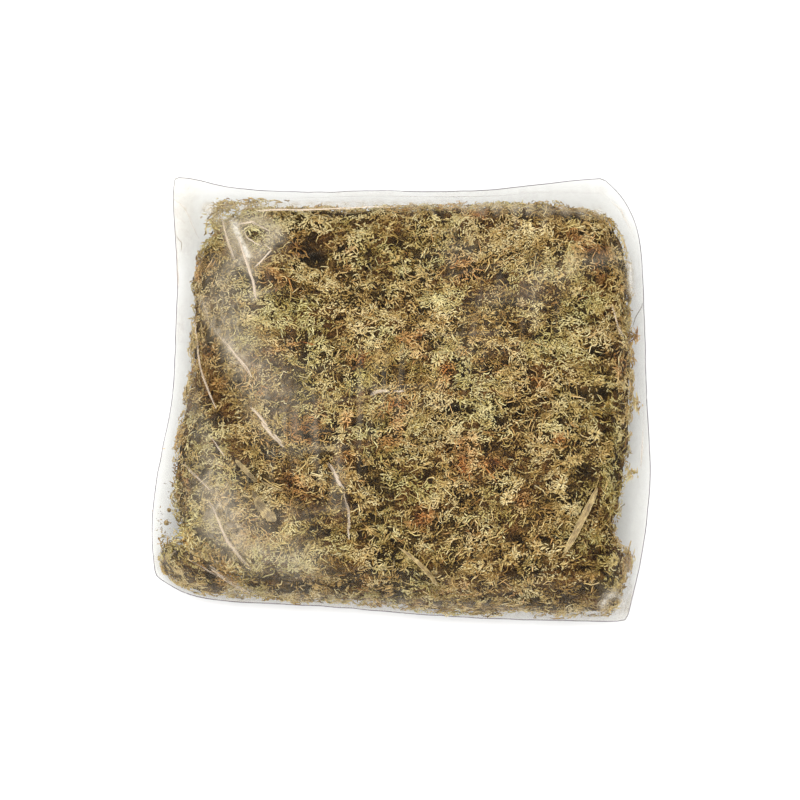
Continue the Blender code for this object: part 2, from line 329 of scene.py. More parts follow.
# Milky places on the film, the strongest also white with painted glare: reach in millimetres, strength,
# and the line they lie along
HAZE_AND_GLARE = [
    (4.5, 0.22, ((240, 220), (262, 219), (276, 232), (258, 252))),
    (3.5, 0.18, ((236, 226), (250, 262))),
    (3.4, 0.2, ((206, 206), (222, 222), (230, 240), (236, 262))),
    (2.4, 0.22, ((230, 220), (242, 242), (250, 268), (255, 296))),
    (2.2, 0.18, ((201, 299), (210, 322), (229, 346), (250, 374))),
    (2.6, 0.18, ((319, 450), (334, 474), (346, 500))),
    (12, 0.125, ((222, 272), (222, 310), (240, 350), (268, 388), (288, 420))),
    (9, 0.08, ((190, 400), (203, 440), (214, 480), (226, 530))),
    (15, 0.115, ((205, 492), (222, 532), (258, 554), (296, 566))),
    (3.6, 0.26, ((210, 207), (300, 204), (400, 204), (500, 206), (598, 212))),
    (3.0, 0.14, ((362, 398), (378, 392), (402, 390), (418, 400))),
    (5, 0.07, ((440, 236), (520, 300), (580, 262), (620, 256))),
    (5, 0.08, ((470, 315), (478, 350))),
    (2.6, 0.4, ((630, 262), (631, 278), (631, 292))),
    (2.4, 0.34, ((603, 604), (607, 598), (614, 594), (620, 597), (624, 604))),
    (4, 0.12, ((235, 592), (330, 599), (450, 606), (560, 613), (620, 612))),
    (6, 0.06, ((158, 560), (200, 588), (240, 600))),
    (3, 0.1, ((629, 560), (629, 610))),
    (8, 0.03, ((168, 186), (170, 260), (178, 330))),
    (11, 0.06, ((178, 184), (180, 212), (186, 240))),
    (5, 0.03, ((300, 190), (420, 197), (600, 190))),
]
BASE_HAZE = 0.0015
WALL_HAZE = 0.022
HAZE_POINTS = 24
RIM_RUNS = 4
RIM_POINTS = 62
RIM_LINE = 0.56 * MM
RIM_STRENGTH = 0.9


def photo_path(tree, places, count):
    """Points on a surface, evenly along a line that is drawn on the photograph."""
    places = np.array(places, float)
    steps = np.linalg.norm(np.diff(places, axis=0), axis=1)
    knots = np.concatenate([[0], np.cumsum(steps)]) / steps.sum()
    shares = np.linspace(0, 1, count)
    pixels = [np.interp(shares, knots, places[:, axis]) for axis in (0, 1)]
    hits = [tree.ray_cast(*photo_ray(px, py))[0] for px, py in zip(*pixels)]
    found = np.array([index for index, hit in enumerate(hits) if hit is not None])
    nearest = found[np.abs(np.arange(count)[:, None] - found).argmin(1)]
    return np.array([hits[index] for index in nearest])


def make_creases(bag_tree, rng):
    """Fine ridges where the film has been folded, each in several overlapping bits, that carry painted
    glints and whitening.
    """
    paths, widths, strengths = [], [], []
    for width, strength, places in CREASES:
        line = photo_path(bag_tree, places, CREASE_POINTS)
        sway = rng.normal(0, CREASE_SWAY, (CREASE_POINTS, 2)).cumsum(0)
        line[:, :2] += sway - np.linspace(0, 1, CREASE_POINTS)[:, None] * sway[-1]
        starts = between(rng, *BIT_START, CREASE_BITS)
        for start, length in zip(starts, between(rng, *BIT_LENGTH, CREASE_BITS)):
            shares = np.linspace(start, min(start + length, 1), BIT_POINTS) * (CREASE_POINTS - 1)
            bit = np.stack([np.interp(shares, range(CREASE_POINTS), axis) for axis in line.T], 1)
            bit[:, :2] += rng.normal(0, BIT_OFFSET * width * MM, 2)
            bit[:, :2] += rng.normal(0, BIT_SWAY, (BIT_POINTS, 2))
            paths.append(bit)
        widths += list(width * MM * between(rng, *BIT_WIDTH, CREASE_BITS))
        strengths += list(strength * between(rng, *BIT_STRENGTH, CREASE_BITS))
    marks = np.stack([strengths, np.zeros(len(paths)), np.zeros(len(paths))], 1)
    return strand_mesh("bag_creases", np.array(paths), np.array(widths), marks, flatness=0.3, corners=6)


def make_rim(bag):
    """The cut edge of the film, a thin line around the outline of the bag."""
    points = mesh_arrays(bag)[0]
    middle = (np.array(CAD_BOX[0]) + CAD_BOX[1]) / 2
    away = points - middle
    angle = np.arctan2(away[:, 1], away[:, 0])
    reach = np.hypot(away[:, 0], away[:, 1])
    bins = RIM_RUNS * (RIM_POINTS - 2)
    slot = ((angle / (2 * math.pi) + 0.5) * bins).astype(int) % bins
    order = np.lexsort((reach, slot))
    last = np.nonzero(np.diff(np.append(slot[order], bins)))[0]
    outline = points[order[last]]
    outline = np.array([outline[np.abs(slot[order[last]] - index).argmin()] for index in range(bins)])
    outline = (np.roll(outline, 1, 0) + 2 * outline + np.roll(outline, -1, 0)) / 4
    starts = np.arange(RIM_RUNS) * (RIM_POINTS - 2)
    paths = np.array([outline[np.arange(start - 1, start + RIM_POINTS - 1) % bins] for start in starts])
    marks = np.tile((RIM_STRENGTH, 0, 0), (RIM_RUNS, 1))
    return strand_mesh("bag_rim", paths, np.full(RIM_RUNS, RIM_LINE), marks, even=True)


class Room:
    """The room inside the bag: how high its upper and lower layers are over a grid."""

    # The side of a cell, and the least height that counts as room
    STEP = 1.0 * MM
    LEAST = 2.5 * MM
    # Where the rays start, and how heights are carried on past the bag's outline
    RAY_START = 0.5
    FILL_ROUNDS = 6
    UNKNOWN_HEIGHT = 20 * MM
    # How often a point is pushed back in, and how far each time
    PUSH_ROUNDS = 3
    LONGEST_PUSH = 6 * MM

    def __init__(self, bag):
        tree = tree_of(bag)
        low, high = CAD_BOX[0], CAD_BOX[1]
        self.low = np.array(low[:2]) - 3 * self.STEP
        self.shape = ((np.array(high[:2]) - self.low) / self.STEP).astype(int) + 4
        self.layers = [self.heights(tree, way) for way in (1, -1)]
        upper, lower = self.layers
        self.roomy = (upper[0] - lower[0] > self.LEAST) & (upper[3] > 0) & (lower[3] > 0)

    def holds(self, paths):
        """Which paths lie wholly where the layers of film stand apart."""
        place = np.clip((paths[..., :2] - self.low) / self.STEP, 0, np.array(self.shape) - 1).astype(int)
        return self.roomy[place[..., 0], place[..., 1]].all(axis=-1)

    def heights(self, tree, way):
        """The height and slopes of the upper or lower layer, and where it was met."""
        heights = np.full(self.shape, np.nan)
        down = Vector((0, 0, -way))
        for i, j in np.ndindex(*self.shape):
            x, y = self.low + np.array((i, j)) * self.STEP
            hit = tree.ray_cast(Vector((x, y, way * self.RAY_START)), down)[0]
            if hit is not None:
                heights[i, j] = hit.z
        measured = np.isfinite(heights)
        for _ in range(self.FILL_ROUNDS):
            near = np.stack([np.roll(heights, s, a) for a in (0, 1) for s in (1, -1)])
            known = np.isfinite(near)
            filled = np.where(known, near, 0).sum(0) / np.maximum(known.sum(0), 1)
            heights = np.where(np.isfinite(heights) | ~known.any(0), heights, filled)
        heights = np.where(np.isfinite(heights), heights, self.UNKNOWN_HEIGHT)
        slopes = np.gradient(heights, self.STEP)
        return np.stack([heights, *slopes, measured])

    def look_up(self, way, points):
        """A layer's height and slopes at each point, and whether it was measured there."""
        layer = self.layers[0 if way > 0 else 1]
        place = np.clip((points[:, :2] - self.low) / self.STEP, 0, self.shape - 1.001)
        cell = place.astype(int)
        fx, fy = (place - cell).T
        i, j = cell.T
        return (
            layer[:, i, j] * (1 - fx) * (1 - fy)
            + layer[:, i + 1, j] * fx * (1 - fy)
            + layer[:, i, j + 1] * (1 - fx) * fy
            + layer[:, i + 1, j + 1] * fx * fy
        )

    def keep_inside(self, points, margin):
        """Moves points that are nearer the film than the margin straight back in."""
        flat = points.reshape(-1, 3).copy()
        for _ in range(self.PUSH_ROUNDS):
            for way in (1, -1):
                height, slope_x, slope_y, _ = self.look_up(way, flat)
                length = np.sqrt(1 + slope_x**2 + slope_y**2)
                over = way * (flat[:, 2] - height) / length + margin
                outward = way * np.stack([-slope_x, -slope_y, np.ones(len(flat))], 1)
                push = np.clip(over, 0, self.LONGEST_PUSH) / length
                flat -= outward * push[:, None]
        return flat.reshape(points.shape)


# The moss

# Places of features that stand out in the photograph: pixel x and y, and reach in x and y
PITS = [
    (306, 249, 19, 10), (318, 255, 11, 7), (278, 243, 6, 3), (242, 274, 3, 5), (218, 295, 6, 3),
    (223, 358, 3, 7), (306, 364, 7, 4), (359, 368, 4, 3), (302, 287, 7, 2), (348, 259, 4, 2),
    (325, 319, 9, 2), (383, 304, 12, 2), (276, 313, 3, 2), (393, 376, 6, 2), (476, 364, 4, 2),
    (430, 371, 3, 3), (421, 387, 4, 2), (454, 383, 3, 2), (360, 465, 4, 4), (450, 448, 4, 3),
    (364, 422, 3, 5), (425, 477, 7, 2), (407, 406, 5, 3), (499, 400, 3, 3), (240, 472, 4, 6),
    (606, 262, 5, 3), (586, 477, 5, 3), (520, 330, 6, 2), (545, 410, 6, 2), (470, 300, 7, 2),
    (560, 300, 5, 2), (330, 500, 4, 8), (300, 520, 3, 6), (500, 520, 7, 3), (540, 455, 5, 3),
    (430, 540, 6, 3), (222, 553, 3, 5), (230, 563, 3, 5), (238, 574, 3, 6), (245, 583, 4, 5),
    (208, 577, 3, 5), (215, 587, 3, 5), (223, 596, 4, 5), (184, 546, 9, 3), (200, 546, 9, 3),
    (213, 550, 5, 4), (238, 468, 6, 5), (258, 508, 3, 9), (330, 530, 12, 6), (240, 578, 8, 3),
    (262, 579, 8, 3), (285, 581, 8, 3), (213, 294, 8, 5), (224, 352, 4, 9), (580, 592, 9, 3),
    (565, 598, 9, 3), (595, 585, 5, 4), (609, 548, 5, 9), (587, 470, 8, 6), (620, 463, 4, 8),
    (222, 357, 7, 11), (217, 295, 9, 6), (231, 569, 6, 11), (216, 591, 7, 11), (608, 597, 6, 3),
    (505, 446, 9, 5), (400, 574, 12, 4), (445, 566, 9, 5), (585, 350, 4, 3), (445, 245, 7, 2),
    (395, 262, 6, 2), (530, 265, 5, 2), (605, 420, 3, 5),
]
RUSTY = [
    (397, 405, 11, 9), (448, 369, 6, 6), (495, 462, 9, 7), (462, 467, 7, 6), (346, 457, 9, 7),
    (360, 360, 11, 9), (271, 277, 15, 12), (299, 294, 6, 5), (313, 236, 8, 5), (292, 341, 10, 8),
    (211, 348, 9, 14), (598, 250, 15, 9), (480, 214, 14, 5), (575, 236, 9, 5), (300, 247, 13, 10),
    (217, 385, 9, 9), (420, 520, 12, 7), (520, 500, 9, 6), (350, 420, 9, 7), (560, 440, 8, 6),
]
PALE = [
    (445, 389, 8, 10), (454, 403, 14, 7), (353, 401, 8, 7), (405, 353, 10, 5), (403, 459, 8, 6),
    (488, 379, 8, 5), (490, 420, 15, 8), (540, 320, 6, 6), (294, 496, 7, 7), (300, 482, 6, 5),
    (430, 335, 12, 5), (370, 330, 10, 6), (520, 395, 10, 6), (585, 395, 8, 6), (350, 405, 12, 5),
    (345, 252, 9, 14), (300, 224, 20, 5), (560, 500, 9, 6), (470, 545, 12, 6), (380, 500, 9, 6),
    (330, 285, 10, 5), (560, 270, 8, 5),
]
GREEN = [
    (470, 430, 22, 16), (430, 300, 26, 12), (370, 440, 18, 14), (540, 350, 24, 18),
    (300, 310, 18, 12), (500, 270, 26, 12), (400, 490, 22, 14),
]

# Places under dusty film, where the moss looks paler and greyer
DUSTY = [
    (225, 530, 36, 40), (212, 430, 16, 60), (225, 310, 26, 50), (255, 224, 30, 14),
    (275, 560, 40, 20), (400, 206, 190, 6), (330, 598, 100, 8), (520, 610, 100, 8),
    (180, 572, 40, 26),
]
# Places on the sides where the moss is set back
NOTCHES = [
    (627, 490, 10, 18), (632, 450, 8, 12), (625, 535, 9, 12), (182, 489, 10, 20), (636, 372, 6, 9),
    (624, 594, 12, 12), (632, 604, 10, 10), (196, 251, 8, 10), (190, 372, 6, 12), (548, 204, 14, 6),
    (588, 208, 12, 8), (292, 206, 14, 6),
]
# Places wider than a pit where shade is painted into the moss's tone
SHADY = [
    (196, 280, 9, 22), (216, 352, 16, 20), (308, 250, 22, 12), (205, 268, 10, 10),
    (275, 365, 14, 14), (290, 400, 16, 22), (262, 450, 18, 18), (340, 515, 28, 18),
    (405, 565, 34, 13), (455, 560, 20, 16), (600, 565, 22, 24), (585, 470, 12, 14),
    (500, 448, 16, 12), (545, 515, 20, 18), (385, 368, 34, 6), (560, 290, 20, 7),
    (595, 385, 12, 22), (470, 305, 24, 6), (230, 578, 30, 6), (290, 580, 34, 6), (420, 470, 20, 9),
    (300, 500, 18, 12), (520, 470, 16, 9), (380, 540, 24, 8), (490, 577, 24, 7), (340, 562, 20, 7),
    (560, 590, 40, 8), (245, 415, 12, 16), (360, 300, 26, 8), (250, 490, 16, 14),
    (535, 405, 20, 10), (628, 468, 5, 14), (221, 560, 8, 12), (232, 573, 7, 8), (216, 592, 7, 10),
    (169, 558, 7, 5),
]

MIDDLE_TONE = 0.775
TONE_PATCHES = ((24 * MM, 0.25), (11 * MM, 0.40), (5.5 * MM, 0.65), (3 * MM, 0.65))
# How much lighter or darker the moss is in each kind of place. Shady places, hollows and gaps are
# painted shade, and the ridge tone is partly painted shade, darker in the furrows.
RIDGE_TONE_AND_SHADE = 0.26
PALE_TONE = 0.30
SHADY_TONE = 0.30
DUSTY_TONE = 0.02
RUSTY_TONE = 0.15
HOLLOW_SHADE = 0.42
GAP_SHADE = 0.8
# How rusty it is at most by chance, low down and in the rusty places, and how much of
# that the dust hides
CHANCE_RUST = 0.6
LOW_RUST = 0.14
PLACED_RUST = 0.9
DUST_COVER = 0.8
GREEN_OLIVE = 0.6
# Noises that mark out the moss: size, share and seed, and the values over which each climbs
RIDGE_NOISE = ((1.0, 0.58, 13), (0.42, 0.42, 14))
RIDGE_CLIMB = (0.30, 0.38)
GAP_NOISE = ((1.0, 0.62, 15), (0.5, 0.38, 16))
GAP_CLIMB = (0.57, 0.07)
PIT_NOISE = ((1.0, 0.65, 11), (0.45, 0.35, 12))
PIT_CLIMB = (0.68, 0.10)
RUST_NOISE = ((22 * MM, 0.6, 21), (8 * MM, 0.4, 22))
RUST_CLIMB = (0.60, 0.14)
OLIVE_NOISE = ((30 * MM, 0.6, 41), (10 * MM, 0.4, 42))
OLIVE_CLIMB = (0.45, 0.3)
# How high up the top ends and the sides begin, by the upward part of the normal
SIDE_START = 0.75
SIDE_WIDTH = 0.4
FEATURE_GROWTH = 1.1
FEATURE_DEPTH = 9 * MM
BED_PITCH = 2.6 * MM
BED_DEPTH = 1.0 * MM
BED_LUMP = 4.5 * MM
BED_ROUGHNESS = 0.8 * MM
UNDERSIDE_DEPTH = 0.3 * MM
RIDGE_SIZE = np.array((13, 6.5, 8)) * MM
RIDGE_HEIGHT = 2.2 * MM
PIT_DEPTH = 4.5 * MM
PIT_SIZE = np.array((11, 6, 8)) * MM
GAP_SIZE = np.array((5.5, 3.0, 5)) * MM
GAP_DEPTH = 2.6 * MM
SIDE_RELIEF = 0.65
NOTCH_DEPTH = 5 * MM
NOTCH_LEAST = 0.4
UNDERSIDE_START = -0.6


def side_share(normals):
    """From 0 on the top to 1 on the sides and underneath."""
    return np.clip((SIDE_START - normals[..., 2]) / SIDE_WIDTH, 0, 1)


def feature_share(points, features):
    """How strongly each point is part of one of the features, from 0 to 1."""
    share = np.zeros(len(points))
    for centre, reach in features:
        away = (points - centre) / (reach[0], reach[1], max(*reach, FEATURE_DEPTH))
        share = np.maximum(share, np.exp(-(away**2).sum(1)))
    return share


def place_features(rows, tree):
    """The centres and sizes on the moss of features given in the photograph."""
    placed = []
    for px, py, across, away in rows:
        hit = tree.ray_cast(*photo_ray(px, py))[0]
        if hit is not None:
            reach = (across * PIXEL * FEATURE_GROWTH, away * PIXEL * FEATURE_GROWTH)
            placed.append((np.array(hit), reach))
    return placed


class Marks:
    """Where the moss has ridges, gaps and pits, and how its colour changes, with painted shade in
    furrows, shady places, pits and gaps.
    """

    def __init__(self, tree):
        self.pits, self.rusty, self.pale, self.green, self.shady, self.dusty, self.notches = (
            place_features(rows, tree) for rows in (PITS, RUSTY, PALE, GREEN, SHADY, DUSTY, NOTCHES)
        )

    def ridge(self, points):
        """From 0 in the furrows to 1 on the ridges."""
        return climb(layered(points / RIDGE_SIZE, RIDGE_NOISE), *RIDGE_CLIMB)

    def gap(self, points):
        """How open the small gaps between strands are, from 0 to 1."""
        return climb(layered(points / GAP_SIZE, GAP_NOISE), *GAP_CLIMB)

    def pit(self, points):
        """How deep the point lies in a dark pit, from 0 to 1."""
        chance = climb(layered(points / PIT_SIZE, PIT_NOISE), *PIT_CLIMB)
        return np.maximum(chance, feature_share(points, self.pits))

    def rust(self, points):
        chance = CHANCE_RUST * climb(layered(points, RUST_NOISE), *RUST_CLIMB)
        low = LOW_RUST * (1 - self.ridge(points))
        clean = 1 - DUST_COVER * feature_share(points, self.dusty)
        return (chance + low + PLACED_RUST * feature_share(points, self.rusty)) * clean

    def tone(self, points):
        """How light the moss is, from about 0 to 1."""
        # Lighter on ridges and darker in furrows: partly the moss's own colour, partly painted shade
        tone = MIDDLE_TONE + RIDGE_TONE_AND_SHADE * (self.ridge(points) - 0.5)
        for seed, (size, depth) in enumerate(TONE_PATCHES):
            tone += depth * (noise_at(points, size, seed + 31) - 0.5)
        pale, shady = feature_share(points, self.pale), feature_share(points, self.shady)
        # Paler in the pale places, and painted shade in the shady places
        tone += PALE_TONE * pale - SHADY_TONE * shady
        tone -= DUSTY_TONE * feature_share(points, self.dusty)
        # Painted shade: darker in pits and gaps
        hollow = np.maximum(self.pit(points), GAP_SHADE * self.gap(points))
        return tone - RUSTY_TONE * feature_share(points, self.rusty) - HOLLOW_SHADE * hollow

    def olive(self, points):
        start, width = OLIVE_CLIMB
        chance = (layered(points, OLIVE_NOISE) - start) / width
        return chance + GREEN_OLIVE * feature_share(points, self.green)


def make_bed(name, node):
    """The body of the moss: the node's solid with an even mesh."""
    bed = node_copy(name, node)
    grid = bed.modifiers.new("Grid", "REMESH")
    grid.mode = "VOXEL"
    grid.voxel_size = BED_PITCH
    apply_modifiers(bed)
    bed.data.shade_smooth()
    return bed


def roughen_bed(bed, marks):
    """Sinks the bed a little under the strands, and deeper in its pits, and marks the pits and gaps for
    painted shade.
    """
    points, normals = mesh_arrays(bed)[0], normals_of(bed)
    depth = BED_DEPTH + BED_ROUGHNESS * noise_at(points, BED_LUMP, 51)
    gap, pit = marks.gap(points), marks.pit(points)
    depth += RIDGE_HEIGHT * (1 - marks.ridge(points))
    depth += np.maximum(PIT_DEPTH * pit, GAP_DEPTH * gap)
    on_side = side_share(normals)
    depth *= 1 - SIDE_RELIEF * on_side
    depth += NOTCH_DEPTH * np.maximum(on_side, NOTCH_LEAST) * feature_share(points, marks.notches)
    depth = np.where(normals[:, 2] < UNDERSIDE_START, UNDERSIDE_DEPTH, depth)
    move_points(bed, points - normals * depth[:, None])
    mark_points(bed, "pit_shade", np.maximum(GAP_SHADE * gap, pit))


# Strands

FILM_MARGIN = 0.62 * MM
HOLLOW_CLEARED = 0.9
ROOT_SHADE = 0.40
# A direction that few strands lie along, to find their sides by
RARE_WAY = (0.31, 0.17, 0.94)
# How a strand swells between its tips: where on a half turn it starts, and how far it goes
SWELL_START = 0.12
SWELL_TURN = 0.76
SWELL_POWER = 0.7
# By how much tones differ by chance, between shoots and between strands
SHOOT_SPREAD = 0.12
STRAND_SPREAD = 0.03


def strand_faces(rings, corners):
    """The triangles of one strand: a tip, rings of corners, and a tip."""
    last = 1 + corners * rings
    faces = []
    for corner in range(corners):
        after = (corner + 1) % corners
        faces.append((0, 1 + after, 1 + corner))
        faces.append((last, last - corners + corner, last - corners + after))
        for ring in range(rings - 1):
            a, b = 1 + corners * ring + corner, 1 + corners * ring + after
            faces += [(a, b, b + corners), (a, b + corners, a + corners)]
    return np.array(faces)


def strand_mesh(name, paths, widths, marks, flatness=0.7, even=False, corners=3):
    """Closed strands in one mesh, tapered unless they are even. Each path starts and
    ends in a tip and has a ring of corners at every place between. Marks are three
    values per strand that its material reads."""
    count, length = paths.shape[:2]
    rings = length - 2
    ahead = unit(paths[:, 2:] - paths[:, :-2])
    side = unit(np.cross(ahead, RARE_WAY))
    over = np.cross(side, ahead)
    along = np.linspace(0, 1, length)[1:-1]
    swell = np.sin(np.pi * (SWELL_START + SWELL_TURN * along)) ** (0.0 if even else SWELL_POWER)
    half = widths[:, None, None] / 2 * swell[None, :, None]
    points = np.empty((count, 2 + corners * rings, 3))
    points[:, 0], points[:, -1] = paths[:, 0], paths[:, -1]
    for corner in range(corners):
        turn = 2 * math.pi * corner / corners
        out = math.cos(turn) * side + math.sin(turn) * over * flatness
        points[:, 1 + corner:-1:corners] = paths[:, 1:-1] + out * half
    first = np.arange(count) * (2 + corners * rings)
    faces = (strand_faces(rings, corners)[None] + first[:, None, None]).reshape(-1, 3)
    obj = triangle_object(name, points.reshape(-1, 3), faces)
    add_strand_marks(obj, marks, rings, corners)
    add_strand_uv(obj, faces, count, rings, corners)
    return obj


def triangle_object(name, points, faces):
    """An object from arrays of points and of triangles."""
    mesh = bpy.data.meshes.new(name)
    mesh.vertices.add(len(points))
    mesh.vertices.foreach_set("co", points.ravel())
    mesh.loops.add(faces.size)
    mesh.loops.foreach_set("vertex_index", faces.ravel())
    mesh.polygons.add(len(faces))
    mesh.polygons.foreach_set("loop_start", np.arange(0, faces.size, 3))
    mesh.update(calc_edges=True)
    mesh.shade_smooth()
    obj = bpy.data.objects.new(name, mesh)
    bpy.context.scene.collection.objects.link(obj)
    return obj


def add_strand_marks(obj, marks, rings, corners):
    """Gives each strand its marks, with a darker tone at its root: painted shade, deeper in the moss."""
    along = np.concatenate([[0], np.repeat(np.arange(1, rings + 1), corners) / (rings + 1), [1]])
    marks = np.repeat(marks[:, None], len(along), axis=1)
    marks[..., 0] -= ROOT_SHADE * marks[..., 0] * (1 - along) ** 2
    mark_points(obj, "strand", marks)


def add_strand_uv(obj, faces, count, rings, corners):
    """A small cell of the texture for every strand, so that each bakes its own colour."""
    across = math.ceil(math.sqrt(count))
    cell = np.stack([np.arange(count) % across, np.arange(count) // across], 1) / across
    local = [(0.06, 0.5)]
    for ring in range(rings):
        local += [(0.1 + 0.8 * (ring + 1) / (rings + 1), v) for v in np.linspace(0.06, 0.94, corners)]
    local.append((0.94, 0.5))
    places = cell[:, None] + np.array(local)[None] / across
    layer = obj.data.uv_layers.new(name="OFBake")
    layer.data.foreach_set("uv", places.reshape(-1, 2)[faces.ravel()].ravel())


# The way that strands lie: its angle on the top, how it swings, and how much it strays
FLOW_ANGLE = 0.22
FLOW_SWING = ((38 * MM, 2.2, 61), (14 * MM, 1.8, 62))
FLOW_SPREAD = 0.35
SIDE_SPREAD = 1.2
SIDE_LIFT = 1.3 * MM
SIDE_PATCH = 12 * MM
BARE_PATCH = 11 * MM
BARE_CLIMB = (0.45, 0.1)
# How much of the moss is missing in pits, in gaps and in bare patches on the sides
PIT_BARE = 0.92
GAP_BARE = 0.88
SIDE_BARE = 0.75


def flow(points, normals, rng):
    """The direction in which the moss lies: mostly across the pack, any way on its sides."""
    swing = sum(turn * (noise_at(points, size, seed) - 0.5) for size, turn, seed in FLOW_SWING)
    angle = FLOW_ANGLE + swing + rng.normal(0, FLOW_SPREAD, len(points))
    angle += np.where(rng.random(len(points)) < 0.5, math.pi, 0)
    heading = np.stack([np.cos(angle), np.sin(angle), np.zeros(len(points))], 1)
    heading += side_share(normals)[:, None] * rng.normal(0, SIDE_SPREAD, heading.shape)
    return unit(heading - normals * (heading * normals).sum(1)[:, None])


class Ground:
    """A bed that strands grow on, with the marks on it and the room above it."""

    def __init__(self, bed, room, marks):
        self.bed, self.room, self.marks = bed, room, marks
        self.tree = tree_of(bed)

    def weight(self, points, normals):
        """How densely strands grow: most on top, some on the sides, fewer underneath."""
        facing = 0.28 + 0.72 * np.clip(normals[:, 2] * 1.4 + 0.35, 0, 1)
        bare = climb(noise_at(points, BARE_PATCH, 72), *BARE_CLIMB) * side_share(normals)
        pit, gap = self.marks.pit(points), self.marks.gap(points)
        cover = (1 - PIT_BARE * pit) * (1 - GAP_BARE * gap) * (1 - SIDE_BARE * bare)
        return facing * cover * (0.55 + 0.45 * self.marks.ridge(points))

    def roots(self, count, rng):
        """Random roots, and the normal, heading and sideways direction at each."""
        points, faces = mesh_arrays(self.bed)
        corners = points[faces]
        normals = np.cross(corners[:, 1] - corners[:, 0], corners[:, 2] - corners[:, 0])
        area = np.linalg.norm(normals, axis=1) / 2
        normals = unit(normals)
        chance = area * self.weight(corners.mean(1), normals)
        picked = rng.choice(len(faces), count, p=chance / chance.sum())
        u, v = rng.random((2, count, 1))
        turned = u + v > 1
        u, v = np.where(turned, 1 - u, u), np.where(turned, 1 - v, v)
        a, b, c = corners[picked].transpose(1, 0, 2)
        starts, normals = a + (b - a) * u + (c - a) * v, normals[picked]
        heading = flow(starts, normals, rng)
        return starts, normals, heading, np.cross(normals, heading)

    def lay(self, paths, lift):
        """Drops each point of the paths onto the bed, at its lift above it."""
        laid, normals = np.empty_like(paths), np.empty_like(paths)
        for index in np.ndindex(paths.shape[:2]):
            laid[index], normals[index] = self.tree.find_nearest(paths[index])[:2]
        patchy = noise_at(laid.reshape(-1, 3), SIDE_PATCH, 71).reshape(lift.shape) ** 2 * 2
        lift = lift + SIDE_LIFT * patchy * side_share(normals)
        return laid + normals * lift[..., None], normals

    def keep_inside(self, paths):
        return self.room.keep_inside(paths, FILM_MARGIN)


def strand_marks(marks, roots, rng, tone_shift=0.0, shoot=1):
    """What the material reads for each strand: tone, rust and olive. The strands of a
    shoot share most of what they have by chance."""
    values = np.stack([marks.tone(roots) + tone_shift, marks.rust(roots), marks.olive(roots)], 1)
    shared = rng.normal(0, SHOOT_SPREAD, (len(roots) // shoot, 3))
    own = rng.normal(0, STRAND_SPREAD, values.shape)
    return np.clip(values + np.repeat(shared, shoot, axis=0) + own, 0, 1)


# Sprays. Sizes are the least and the greatest in millimetres, here and below
SPRAYS = 1800
FINE_SPRAYS = 4700
TUFT_SPRAYS = 230
TUFT_SIZE = 0.6
SPRAY_LENGTH = (7, 16)
SPRAY_CREST = (0.3, 2.6)
# A stem has 4 steps, and its last barb leaves it just short of the tip
STEM_STEPS = 4
LAST_PLACE = 3.999
STEM_BEND = 0.32
STEM_LIFT = 0.3 * MM
BARBS = 15
BARB_LENGTH = (2.2, 5.6)
BARB_WIDTH = (0.6, 1.1)
# A barb's angle to its stem and its curl, each as a middle value and a spread, and the
# limits of the angle and of its rise, in radians
BARB_SPLAY = (0.80, 0.22)
SPLAY_LIMITS = (0.2, 1.4)
BARB_RISE = (-0.25, 0.85)
BARB_CURL = (0.45, 0.5)
BARB_DROOP = 0.5
BARB_STRAY = 0.22
BARB_TURN = 1.8


def lay_stems(ground, count, rng, size):
    """The stems of the sprays, arched a little over the bed, and the bed's normals there."""
    starts, _, heading, across = ground.roots(count, rng)
    length = random_sizes(rng, SPRAY_LENGTH, (count, 1, 1)) * size
    share = np.linspace(0, 1, STEM_STEPS + 1)[None, :, None]
    bend = rng.normal(0, STEM_BEND, (count, 1, 1))
    stems = starts[:, None] + heading[:, None] * length * share
    stems = stems + across[:, None] * length * bend * share**2
    crest = random_sizes(rng, SPRAY_CREST, (count, 1)) * size
    lift = STEM_LIFT + crest * np.sin(np.pi * (0.1 + 0.8 * share[..., 0]))
    return ground.lay(stems, lift)


def grow_barbs(stems, stem_normals, rng, bends, size):
    """The paths of barbs that leave each stem on both sides, in turn."""
    count = len(stems)
    place = (np.arange(BARBS) + rng.random((count, BARBS))) / BARBS * LAST_PLACE
    step = place.astype(int)
    share = (place - step)[..., None]
    row = np.arange(count)[:, None]
    root = stems[row, step] * (1 - share) + stems[row, step + 1] * share
    ahead = unit(stems[row, step + 1] - stems[row, step])
    up = stem_normals[row, step]
    side = np.cross(up, ahead) * np.where(np.arange(BARBS) % 2, 1, -1)[None, :, None]
    shape = (count, BARBS, 1)
    splay = np.clip(rng.normal(*BARB_SPLAY, shape), *SPLAY_LIMITS)
    rise = between(rng, *BARB_RISE, shape)
    way = np.cos(splay) * ahead + np.sin(splay) * (np.cos(rise) * side + np.sin(rise) * up)
    reach = random_sizes(rng, BARB_LENGTH, shape) * (0.7 + 0.3 * (bends - 1)) * size
    reach = reach * (0.6 + 0.4 * np.sin(np.pi * (0.15 + 0.7 * place / STEM_STEPS)))[..., None]
    curl = rng.normal(*BARB_CURL, shape) * ahead - between(rng, 0, BARB_DROOP, shape) * up
    curl = curl + rng.normal(0, BARB_STRAY, (count, BARBS, 3))
    steps = [root]
    for turn in np.linspace(0, BARB_TURN, bends + 1):
        steps.append(steps[-1] + unit(way + curl * turn) * reach / (bends + 1))
    return np.stack(steps, 2).reshape(-1, bends + 2, 3)


